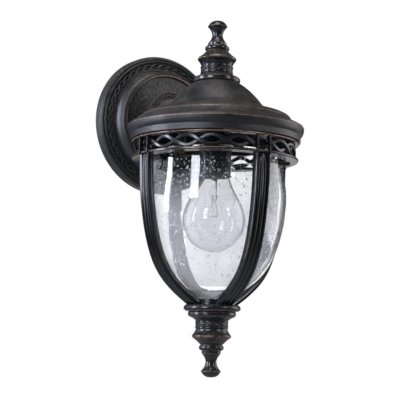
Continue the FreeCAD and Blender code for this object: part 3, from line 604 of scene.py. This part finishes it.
# Bored stubs inside the roof: radius and height, or for the arm's, radius and distance behind the axis.
SCREW_POST = [(0, 217.0), (2.1, 216.4), (2.1, 208.4), (2.3, 208.3), (3.3, 208.3), (3.5, 208.5)]
BRIDGE_BOSS = [(0, 252.0), (1.95, 251.4), (1.95, 242.1), (2.1, 242.0), (4.7, 242.0), (5.0, 242.3)]
BRIDGE_BOSS_X = 52.0
ARM_BOSS = [(0, 28.6), (5.0, 28.5), (5.2, 28.0), (9.2, 28.0), (9.5, 28.3)]


def middle_of_wall():
    """Radius and height half-way through the roof's wall, from the dome down to the tier's foot."""
    outer = sampled(ROOF_OUTSIDE)[:, :2]
    outer = outer[(outer[:, 1] > 246.0) & (outer[:, 0] > 22.0)]
    inner = sampled(ROOF_INSIDE)[:, :2]
    reach = np.linalg.norm(outer[:, None, :] - inner[None, :, :], axis=2)
    return (outer + inner[reach.argmin(axis=1)]) / 2


def peg(shell, place, rows, end, sides=40):
    """A bored stub: rows of (radius, along) from the bottom of its bore, then a ring buried at end."""
    angle = np.linspace(0, TAU, sides, endpoint=False)
    u, v = np.cos(angle), np.sin(angle)
    rings = [place(r * u, r * v, along + 0 * u) for r, along in rows[1:]]
    outer = rows[-1][0]
    buried = end(outer * u, outer * v)
    rings.append(place(outer * u, outer * v, buried))
    centre = np.zeros(1)
    tips = [place(centre, centre, centre + along) for along in (rows[0][1], buried.mean())]
    points = np.vstack(rings + tips)
    faces = grid_faces(len(rings), sides, False, True)
    size = len(rings) * sides
    for k in range(sides):
        after = (k + 1) % sides
        faces.append([size, after, k])
        faces.append([size + 1, size - sides + k, size - sides + after])
    shell.add(points, faces)


def roof():
    """Domed casting with a stepped tier, a creased rim and a skirt, and its posts and bosses inside."""
    shell = Shell()
    rows = refined(sampled(ROOF_INSIDE + ROOF_OUTSIDE[1:]), 224.0, 282.0, 2.0)
    shell.lathe(rows, 288, lantern_points, roof_skin, closed=True)
    wall = middle_of_wall()
    by_radius, by_height = wall[np.argsort(wall[:, 0])], wall[np.argsort(wall[:, 1])]

    def upright(x, y):
        def place(u, v, along):
            return np.stack([(x + u) * MM, (y + v) * MM + AXIS_Y, along * MM + TIP_Z], -1)

        def end(u, v):
            return np.interp(np.hypot(x + u, y + v), by_radius[:, 0], by_radius[:, 1])

        return place, end

    for degrees in SCREW_ANGLES.values():
        turn = math.radians(degrees)
        place, end = upright(SCREW_CIRCLE * math.sin(turn), -SCREW_CIRCLE * math.cos(turn))
        peg(shell, place, SCREW_POST, end)
    for side in (-1, 1):
        place, end = upright(side * BRIDGE_BOSS_X, 0.0)
        peg(shell, place, BRIDGE_BOSS, end)

    def backwards(u, v, along):
        return np.stack([u * MM, along * MM + AXIS_Y, (ARM_HEIGHT + v) * MM + TIP_Z], -1)

    def rear_end(u, v):
        return np.sqrt(np.interp(ARM_HEIGHT + v, by_height[:, 1], by_height[:, 0]) ** 2 - u ** 2)

    peg(shell, backwards, ARM_BOSS, rear_end)
    make_piece("roof_casting", shell, "fixture", ROOF_BRONZE, ["roof"])


def roof_skin(r, a, h):
    """Slight unevenness of the sand casting on the dome and tier."""
    where = np.stack([r * np.sin(a), r * np.cos(a), h], -1)
    skin = 0.03 * ripple(where, 9.0, 21) + 0.03 * ripple(where, 3.5, 22)
    fade = np.clip((h - 244.0) / 4.0, 0, 1) * np.clip((281.0 - h) / 2.0, 0, 1)
    return r + skin * fade * (r > 20.0), h


# --- Backplate --------------------------------------------------------------------------------
PLATE_OUTLINE = (
    [bend(0, 20.0), bend(46.4, 20.0, 0.5), bend(49.2, 21.8, 0.8)] + flow((51.6, 19.6), (53.4, 15.2))
    + [bend(54.2, 9.6, 0.5), bend(64.0, 9.0, 0.5), bend(68.9, 8.4, 0.5), bend(68.9, 0, 0.2),
       bend(71.5, 0, 0.3), bend(71.5, 8.9, 1.3, 0.1), bend(69.9, 11.4, 1.0), bend(68.3, 11.4, 0.4),
       bend(67.4, 10.3, 0.5), bend(66.6, 11.4, 0.3)]
    + flow((66.2, 12.5), (65.4, 12.6))
    + [bend(64.8, 11.3, 0.3), bend(64.4, 11.0, 0.3), bend(57.4, 11.6, 0.3), bend(56.9, 12.6, 0.2)]
    + flow((56.4, 16.4), (54.8, 20.6), (52.6, 23.6))
    + [bend(50.0, 24.8, 0.5), bend(48.8, 25.0, 0.25, 2.4), bend(47.7, 22.5, 0.25)]
)
PLATE_EYES = 40
BRAID_RADIUS = 61.0
DISC_RADIUS = 47.0
DISC_DEPTH = 22.5
# Wire hole, two stud holes and two arm screw holes: x, z, radius.
PLATE_HOLES = [(0.0, 10.0, 9.0), (-35.0, 0.0, 2.3), (35.0, 0.0, 2.3), (-16.0, -3.0, 2.6), (16.0, -3.0, 2.6)]


def plate_skin(r, a, d):
    """Uneven cast face of the centre disc, with faint radial marks."""
    where = np.stack([r * np.cos(a), r * np.sin(a), d * 0], -1)
    spoke = np.stack([40 * np.cos(a), 40 * np.sin(a), a * 0], -1)
    skin = 0.10 * ripple(where, 4.0, 11) + 0.10 * ripple(where, 1.7, 12) + 0.09 * ripple(spoke, 1.6, 13)
    face = (d > 22.4) & (r < DISC_RADIUS)
    return r, np.where(face, d + skin * np.clip((DISC_RADIUS - r) / 3.0, 0, 1), d)


def backplate():
    """Moulded canopy with a braided ring in its channel, drilled for wires, studs and screws."""
    disc = [(r, DISC_DEPTH, 0.0) for r in np.arange(DISC_RADIUS, 0.5, -0.7)]
    rows = np.vstack([sampled(PLATE_OUTLINE + [bend(47.2, DISC_DEPTH)]), disc, [(0, DISC_DEPTH, 0)]])
    shell = Shell()
    shell.lathe(rows, 360, wall_points, plate_skin)
    plate = make_piece("backplate_casting", shell, "fixture", PLATE_BRONZE, ["backplate"])
    carve(plate, drills(PLATE_HOLES, -26.0, -19.0))
    plate.data.materials.append(DISC_BRONZE)
    for face in plate.data.polygons:
        middle = face.center
        if math.hypot(middle.x, middle.z) < 47.4 * MM and middle.y < -22.0 * MM:
            face.material_index = 1

    ring = Shell()
    angle = np.linspace(0, TAU, 1200, endpoint=False)[:, None]
    across = np.linspace(-3.45, 3.45, 30)[None, :]
    lift = braid(angle / TAU * PLATE_EYES, across, 1.9, 0.9, TAU * BRAID_RADIUS / PLATE_EYES)
    radius, angles = BRAID_RADIUS + across + 0 * angle, angle + 0 * across
    top = wall_points(radius, angles, 11.4 + 2.1 * lift)
    low = wall_points(radius, angles, 11.0 + 0 * lift)
    top, low = (np.vstack([grid, grid[:1]]) for grid in (top, low))
    # The strands' lift minus 1 falls below 0 in the channel between them: painted shade there.
    ring.slab(top, low, np.vstack([lift, lift[:1]]) - 1)
    make_piece("backplate_braid", ring, "fixture", PLATE_BRONZE)


# --- Arm --------------------------------------------------------------------------------------
def arm_braid():
    """Braided band in relief round the arched collar of the arm."""
    foot, shoulder, half, flare, top = -12.4, 8.0, 21.6, 25.2, 28.3
    face = 29.0                                 # depth of the collar's front face off the wall
    side = [(flare, foot), (half + 1.2, foot + 8.0), (half + 0.3, 2.0)]
    crown = [(half * math.cos(t), shoulder + (top - shoulder) * math.sin(t))
             for t in np.linspace(0, math.pi, 13)]
    line = soft_line(side + crown + [(-x, z) for x, z in side[::-1]], 620)
    length = np.concatenate([[0], np.cumsum(np.linalg.norm(np.diff(line, axis=0), axis=1))])
    eyes = round(length[-1] / 7.4)
    normal = normals_2d(line)
    across = np.linspace(-2.5, 2.5, 34)[None, :]
    along = (length / length[-1] * eyes)[:, None] + 0.5
    lift = braid(along, across, 1.0, 0.62, length[-1] / eyes)
    rail = np.sqrt(np.clip(1 - ((np.abs(across) - 2.12) / 0.38) ** 2, 0, 1))
    x = line[:, :1] + normal[:, :1] * across
    z = line[:, 1:] + normal[:, 1:] * across
    top_grid = np.stack([x, -(face + 0.05 + 1.25 * np.maximum(lift, 0.95 * rail)), z], -1) * MM
    low_grid = np.stack([x, -(face - 0.6) + 0 * lift, z], -1) * MM
    shell = Shell()
    # Below 0 off the strands and rails: painted shade in the band's channel.
    shell.slab(top_grid, low_grid, np.maximum(lift, rail) - 1)
    make_piece("arm_braid", shell, "fixture", ARM_BRONZE)


# --- Gallery ----------------------------------------------------------------------------------
FLANGE_OUTLINE = [bend(66.8, 205.8, 0.3), bend(79.4, 205.8, 0.4), bend(79.9, 206.4, 0.4),
                  bend(79.9, 207.6, 0.4, 0.55), bend(79.3, 208.3, 0.3, 0.3), bend(66.8, 208.3, 0.3)]
TOP_RING_OUTLINE = [bend(73.8, 221.9, 0.3), bend(79.9, 221.9, 0.3), bend(80.5, 222.5, 0.3, 0.7),
                    bend(80.4, 223.2, 0.4, 0.7), bend(79.8, 223.7, 0.3), bend(73.8, 223.7, 0.3)]


def ring_round(shell, outline, segments=288):
    """A closed ring turned from a closed outline."""
    shell.lathe(sampled(outline, closed=True), segments, lantern_points, closed=True)


def gallery():
    """Flange and top ring with two strands that cross over and under between them."""
    shell = Shell()
    ring_round(shell, FLANGE_OUTLINE)
    ring_round(shell, TOP_RING_OUTLINE)
    middle = (FLANGE_TOP + TOP_RING_FOOT) / 2
    half_width, half_thick = 1.95, 1.15         # of one strand
    swing, weave, band_radius = 4.75, 1.0, 75.9
    stations, sides = 900, 16
    angle = np.linspace(0, TAU, stations, endpoint=False)
    phase = angle * GALLERY_EYES / 2
    round_ring = np.linspace(0, TAU, sides, endpoint=False)
    for side in (1, -1):
        radius = band_radius + side * weave * np.sin(phase)
        height = middle + side * swing * np.cos(phase)
        path = lantern_points(radius, angle, height)
        tangent = np.roll(path, -1, 0) - np.roll(path, 1, 0)
        tangent /= np.linalg.norm(tangent, axis=1)[:, None]
        out = lantern_points(radius + 1, angle, height) - path
        out /= np.linalg.norm(out, axis=1)[:, None]
        flank = np.cross(tangent, out)
        groove = 0.30 * np.exp(-(np.sin(round_ring) / 0.28) ** 2) * (np.cos(round_ring) > 0)
        thick = half_thick * np.cos(round_ring) * (1 - groove)
        wide = half_width * np.sin(round_ring)
        offsets = out[:, None, :] * thick[None, :, None] + flank[:, None, :] * wide[None, :, None]
        rings = path[:, None, :] + MM * offsets
        shell.add(rings.reshape(-1, 3), grid_faces(stations, sides, True, True))
    make_piece("gallery_casting", shell, "cage", BRONZE, ["gallery"])


# --- Ribs -------------------------------------------------------------------------------------
def rib_face(across, height):
    """Depth of a rib's outer face below its rails: channel, twin reeds and their pointed tops."""
    t = np.abs(across)
    channel = RIB_HALF_WIDTH - RAIL_WIDTH
    floor, bank, edge = 1.7, 0.2, 0.25          # channel depth, and widths of its side and of the rail's edge
    depth = np.where(t < channel, floor, 0.0)
    depth = np.where((t >= channel) & (t < channel + bank), floor * (channel + bank - t) / bank, depth)
    depth = np.where(t > RIB_HALF_WIDTH - edge, 0.3 * ((t - RIB_HALF_WIDTH + edge) / edge) ** 2, depth)
    # The reeds' outer edges meet at a point under the flange, and their inner edges part lower down.
    down_outer = np.clip((206.5 - height) / 17.0, 0, 1)
    down_inner = np.clip((194.0 - height) / 14.0, 0, 1)
    outer = 4.35 * (1 - (1 - down_outer) ** 2.2)
    inner = 0.55 * (1 - (1 - down_inner) ** 2)
    centre, half = (outer + inner) / 2, np.maximum((outer - inner) / 2, 1e-3)
    reed = np.sqrt(np.clip(1 - ((t - centre) / half) ** 2, 0, 1)) * np.minimum(half / 1.7, 1.0) ** 0.5
    return depth - np.where(t < channel, 1.45 * reed, 0)


def ribs():
    """Curved reeded strips from the collar to the flange, with bare rails up to the top ring."""
    line = soft_line(RIB_LINE, 330)
    normal = normals_2d(line)
    across = np.concatenate([[-7.5, -7.42, -7.25], np.linspace(-7.0, -6.4, 3),
                             np.linspace(-6.2, 6.2, 63), np.linspace(6.4, 7.0, 3), [7.25, 7.42, 7.5]])
    t = np.repeat(across[None, :], len(line), 0)
    depth = rib_face(t, line[:, 1:] + 0 * t)
    # Painted shade: the channel and the reeds' flanks get values below 0, darkened towards black by the
    # material.
    recess_shade = -np.clip((depth - 0.30) / 0.35, 0, 1) * (np.abs(t) < RIB_HALF_WIDTH - RAIL_WIDTH + 0.2)
    rails_high = np.linspace(FLANGE_FOOT - 0.5, TOP_RING_FOOT + 0.6, 10)
    rail_across = np.array([-0.65, -0.6, -0.45, 0.45, 0.6, 0.65])[None, :]
    rail_drop = np.array([0.2, 0.05, 0, 0, 0.05, 0.2])[None, :]
    for name, degrees in RIB_ANGLES.items():
        turn = math.radians(degrees)

        def placed(radius, sideways, height):
            x = radius * math.sin(turn) + sideways * math.cos(turn)
            y = -radius * math.cos(turn) + sideways * math.sin(turn)
            return np.stack([x * MM, y * MM + AXIS_Y, height * MM + TIP_Z], -1)

        def below(inward):
            return placed(line[:, :1] - normal[:, :1] * inward, t, line[:, 1:] - normal[:, 1:] * inward)

        shell = Shell()
        shell.slab(below(depth), below(RIB_DEPTH + 0 * t), recess_shade)
        for side in (-1, 1):
            strip = side * (RIB_HALF_WIDTH - RAIL_WIDTH / 2) + rail_across
            high = rails_high[:, None] + 0 * strip
            shell.slab(placed(RAIL_FACE - rail_drop + 0 * high, strip + 0 * high, high),
                       placed(RAIL_BACK + 0 * high, strip + 0 * high, high))
        make_piece(name + "_casting", shell, "cage", RIB_BRONZE, [name])


def base_collar():
    """Rounded ring that gathers the ribs."""
    shell = Shell()
    outline = [bend(3.1, 61.9, 0.1), bend(24.0, 61.9, 0.3), bend(25.8, 62.4, 0.6, 0.75)]
    outline += flow((27.0, 63.8), (27.2, 65.2), (26.5, 67.0))
    outline += [bend(24.8, 68.2, 0.5, 0.15), bend(3.1, 68.2, 0.1)]
    ring_round(shell, outline, 200)
    make_piece("base_collar_casting", shell, "cage", BRONZE, ["base_collar"])


# --- Glass and lamp ---------------------------------------------------------------------------
def bowl_line(inset):
    """The bowl's side at a distance inside its outer face, from its foot to its rim."""
    line = soft_line(RIB_LINE, 400)
    side = line - normals_2d(line) * (RIB_DEPTH + 1.3 + inset)
    low = [tuple(side[k]) for k in range(44, 290, 24)]
    return low + [(r - inset, h) for r, h in ((69.1, 167.0), (68.4, 179.0), (66.6, 190.5), (65.4, 201.0))]


def bowl_ripple(r, a, h):
    """Faint unevenness of blown glass."""
    where = np.stack([r * np.cos(a), r * np.sin(a), h], -1)
    return r + 0.07 * ripple(where, 24.0, 5) * (h < 200), h


def bubble_shape():
    """A small round mesh: points on a unit ball and its faces."""
    mesh = bpy.data.meshes.new("bubble")
    work = bmesh.new()
    bmesh.ops.create_icosphere(work, subdivisions=2, radius=1.0)
    work.to_mesh(mesh)
    work.free()
    points = np.array([v.co for v in mesh.vertices])
    faces = [list(f.vertices) for f in mesh.polygons]
    bpy.data.meshes.remove(mesh)
    return points, faces


def glass_bowl():
    """Blown bowl with its seeds: closed air bubbles inside the wall."""
    rim = 212.0
    outside = [bend(0, 73.2), bend(13.6, 73.2, 1.0)] + flow(*bowl_line(0.0)[1:]) + [bend(65.2, rim, 1.1)]
    inside = [bend(62.2, rim, 1.1)] + flow(*bowl_line(GLASS_WALL)[::-1][:-1])
    inside += [bend(11.0, 76.8, 1.5), bend(0, 76.8)]
    shell = Shell()
    rows = refined(sampled(outside + inside), 80.0, 205.0, 2.5)
    shell.lathe(rows, 200, lantern_points, bowl_ripple)
    make_piece("glass_bowl_blown", shell, "cage", BOWL_GLASS, ["glass_bowl"])

    draw = np.random.default_rng(41)
    points, faces = bubble_shape()
    middle = soft_line(bowl_line(GLASS_WALL / 2), 300)
    lowest, widest = 18, 70.0                   # first row of the line with seeds, and the bowl's radius
    seeds = Shell()
    for _ in range(SEED_DRAWS):
        up = draw.random() ** 0.56              # more seeds towards the rim
        index = int(min(299, lowest + up * 281))
        radius, height = middle[index]
        if draw.random() > radius / widest:     # and no crowding where the bowl is narrow
            continue
        turn = draw.uniform(0, TAU)
        size = min(0.95, 0.24 + draw.exponential(0.19))
        stretch = np.array([size, size, size * draw.uniform(1.0, 1.6)])
        centre = lantern_points(radius + draw.uniform(-0.4, 0.4), turn, height)
        seeds.add(points * stretch * MM + centre, faces)
    make_piece("glass_seeds", seeds, "cage", SEED_GLASS)


BULB_OUTSIDE = flow((9.5, 119.2), (20.0, 125.2), (27.4, 135.4), (30.3, 147.7), (28.9, 158.0),
                    (24.6, 167.6), (19.6, 176.6), (16.3, 183.4), (14.4, 189.0), (13.0, 194.0))


def bulb():
    """Thin clear pear-shaped envelope."""
    wall = 0.8
    line = np.array([point[:2] for point in BULB_OUTSIDE])
    inner = line - normals_2d(line) * wall
    shell = Shell()
    outline = [bend(0, 117.7)] + BULB_OUTSIDE
    outline += [bend(12.5, 196.0), bend(12.5, 198.0, 0.3), bend(11.8, 198.0, 0.3), bend(11.7, 195.6)]
    outline += flow(*[tuple(point) for point in inner[::-1]]) + [bend(0, 118.5)]
    shell.lathe(sampled(outline), 160, lantern_points)
    make_piece("bulb_envelope_blown", shell, "lamp", BULB_GLASS, ["bulb_envelope"])


def wire(shell, points, thickness, sides=8):
    """A round wire along a soft line through lantern points (x, y, height) in millimetres."""
    line = soft_line(points, 14 * len(points))
    path = np.stack([line[:, 0] * MM, line[:, 1] * MM + AXIS_Y, line[:, 2] * MM + TIP_Z], -1)
    tangent = np.gradient(path, axis=0)
    tangent /= np.linalg.norm(tangent, axis=1)[:, None]
    helper = np.where(np.abs(tangent[:, 2:]) > 0.9, np.array([[1.0, 0, 0]]), np.array([[0, 0, 1.0]]))
    u = np.cross(tangent, helper)
    u /= np.linalg.norm(u, axis=1)[:, None]
    v = np.cross(tangent, u)
    turn = np.linspace(0, TAU, sides, endpoint=False)
    rings = u[:, None, :] * np.cos(turn)[None, :, None] + v[:, None, :] * np.sin(turn)[None, :, None]
    shell.tube(path, lambda k: rings[k] * thickness / 2 * MM, sides)


def filament():
    """Lead wires, a fine support and the coiled filament."""
    shell = Shell()
    for side in (-1, 1):
        wire(shell, [(side * 1.3, 0, 172.0), (side * 1.9, 0, 166.0), (side * 3.4, 0, 159.0),
                     (side * 4.2, 0.2, 152.6)], 0.75)
    wire(shell, [(0, 0, 172.0), (0, 0.4, 164.0), (0, 1.6, 155.4)], 0.4)
    turns = 15
    coil = []
    for step in range(turns * 8 + 1):
        t = step / (turns * 8)
        swing = TAU * turns * t
        coil.append((-4.2 + 8.4 * t, 0.2 + 1.5 * math.sin(math.pi * t) + 0.45 * math.cos(swing),
                     152.4 + 0.8 * math.sin(math.pi * t) + 0.45 * math.sin(swing)))
    line = soft_line(coil, 600)
    wire(shell, line[::3], 0.30, 5)
    make_piece("bulb_filament_wires", shell, "lamp", TUNGSTEN, ["bulb_filament"])


# --- Fasteners --------------------------------------------------------------------------------
SCREW_HEAD_FOOT, SLOT_FLOOR = 203.9, 204.7
SCREW_OUTLINE = [bend(0, SCREW_HEAD_FOOT), bend(2.3, SCREW_HEAD_FOOT, 0.3), bend(2.9, 204.5, 0.5, 0.3),
                 bend(3.0, 205.8, 0.1), bend(2.0, 205.8, 0.1), bend(2.0, 213.9, 0.4), bend(0, 214.3)]


def cage_screws():
    """Low slotted heads under the flange, each on its shank."""
    for name, degrees in SCREW_ANGLES.items():
        turn = math.radians(degrees)
        centre_x, centre_y = SCREW_CIRCLE * math.sin(turn), -SCREW_CIRCLE * math.cos(turn)

        def place(r, a, h):
            along, across = r * np.cos(a), r * np.sin(a)
            x = centre_x + along * math.sin(turn) + across * math.cos(turn)
            y = centre_y - along * math.cos(turn) + across * math.sin(turn)
            return np.stack([x * MM, y * MM + AXIS_Y, h * MM + TIP_Z], -1)

        def slotted(r, a, h):
            inside = (np.abs(r * np.sin(a)) < 0.4) & (h < 204.6)
            return r, np.where(inside, SLOT_FLOOR, h)

        rows = refined(sampled(SCREW_OUTLINE), 203.8, 205.0, 0.25)
        disc = np.array([(r, SCREW_HEAD_FOOT, 0.0) for r in np.arange(0.3, 2.0, 0.3)])
        rows = np.vstack([[(0, SLOT_FLOOR, 0.0)], disc, rows[1:]])
        shell = Shell()
        shell.lathe(rows, 120, place, slotted)
        body = name.replace("cage_", "")
        make_piece(name + "_turned", shell, body, BROWN_SCREW, [name])


# --- Stage, camera and light ------------------------------------------------------------------
def swung(first, second, angle):
    """Two square directions turned in their plane, the first towards the second."""
    cos, sin = math.cos(angle), math.sin(angle)
    return cos * first + sin * second, cos * second - sin * first


def camera():
    """A long lens a little below the lantern, to its left, tilted up."""
    azimuth, distance, height = math.radians(-33.7), 1.150, -0.2165
    yaw, pitch, roll = math.radians(-0.680), math.radians(6.428), math.radians(1.2247)
    right = Vector((math.cos(azimuth), math.sin(azimuth), 0))
    ahead = Vector((-math.sin(azimuth), math.cos(azimuth), 0))
    up = Vector((0, 0, 1))
    place = Vector((0, AXIS_Y, 0)) - ahead * distance + up * height
    ahead, right = swung(ahead, right, yaw)
    ahead, up = swung(ahead, up, pitch)
    right, up = swung(right, up, roll)
    data = bpy.data.cameras.new("camera")
    data.lens = 108.64
    data.sensor_width = 36.0
    data.clip_start, data.clip_end = 0.05, 100.0
    view = bpy.data.objects.new("camera", data)
    view.matrix_world = Matrix((right, up, -ahead)).transposed().to_4x4()
    view.matrix_world.translation = place
    SCENE.collection.objects.link(view)
    SCENE.camera = view


def softbox(name, azimuth, elevation, distance, width, height, watts, colour=(1, 1, 1)):
    """A rectangular lamp that faces the lantern, in degrees and metres.

    Azimuth counts from the front towards +X.
    """
    a, e = math.radians(azimuth), math.radians(elevation)
    towards = Vector((math.sin(a) * math.cos(e), -math.cos(a) * math.cos(e), math.sin(e)))
    data = bpy.data.lights.new(name, "AREA")
    data.shape = "RECTANGLE"
    data.size, data.size_y = width, height
    data.energy = watts
    data.color = colour
    lamp = bpy.data.objects.new(name, data)
    lamp.location = Vector((0, AXIS_Y, 0)) + towards * distance
    lamp.rotation_euler = towards.to_track_quat("Z", "Y").to_euler()
    SCENE.collection.objects.link(lamp)


def surround():
    """White where the eye or clear glass looks straight at it, and dim as a light or a reflection."""
    world = bpy.data.worlds.new("studio")
    world.use_nodes = True
    world.node_tree.nodes.clear()
    add = node_maker(world)
    dim = add("ShaderNodeBackground", in_Color=(0.90, 0.94, 1.0, 1), in_Strength=0.05)
    bright = add("ShaderNodeBackground", in_Color=(1, 1, 1, 1), in_Strength=1.0)
    blend = add("ShaderNodeMixShader", in_0=seen_directly(add), in_1=dim.outputs[0], in_2=bright.outputs[0])
    add("ShaderNodeOutputWorld", in_Surface=blend.outputs[0])
    SCENE.world = world


def pale_floor():
    """A wide floor far below, as white as the surround to the eye and matt grey to other rays."""
    half, drop = 30.0, -0.9
    mesh = bpy.data.meshes.new("floor")
    corners = [(x * half, y * half, drop) for x, y in ((-1, -1), (1, -1), (1, 1), (-1, 1))]
    mesh.from_pydata(corners, [], [[0, 1, 2, 3]])
    material, add = new_material("pale_floor")
    matt = add("ShaderNodeBsdfPrincipled", in_Base_Color=(0.40, 0.40, 0.41, 1))
    matt.inputs["Roughness"].default_value = 0.9
    glow = add("ShaderNodeEmission", in_Color=(1, 1, 1, 1), in_Strength=1.0)
    mixed = add("ShaderNodeMixShader", in_0=seen_directly(add), in_1=matt.outputs[0], in_2=glow.outputs[0])
    add("ShaderNodeOutputMaterial", in_Surface=mixed.outputs[0])
    mesh.materials.append(material)
    floor = bpy.data.objects.new("floor", mesh)
    SCENE.collection.objects.link(floor)


def studio():
    """Pale floor, white surround and soft lamps."""
    surround()
    pale_floor()
    softbox("left_wall", -146.0, 8.0, 1.9, 1.1, 1.5, 6.0, (0.80, 0.83, 1.0))
    softbox("side_strip", -113.0, 10.0, 1.6, 0.24, 1.05, 21.0, (0.78, 0.85, 1.0))
    softbox("front_left_box", -66.0, 14.0, 1.7, 0.40, 1.1, 18.0, (0.84, 0.89, 1.0))
    softbox("right_fill", 25.0, 22.0, 2.0, 0.2, 0.8, 7.0)
    softbox("right_wall", 78.0, 8.0, 1.7, 1.2, 1.5, 11.0, (0.97, 0.97, 1.0))
    softbox("back_low", 146.0, -14.0, 1.7, 1.6, 0.4, 2.0, (1.0, 0.97, 0.93))
    softbox("overhead", -40.0, 70.0, 1.8, 0.8, 0.8, 13.0)
    SCENE.view_settings.view_transform = "Standard"
    SCENE.view_settings.look = "None"


camera()
studio()
dress_cad_nodes()
finials()
roof()
backplate()
arm_braid()
gallery()
ribs()
base_collar()
glass_bowl()
bulb()
filament()
cage_screws()
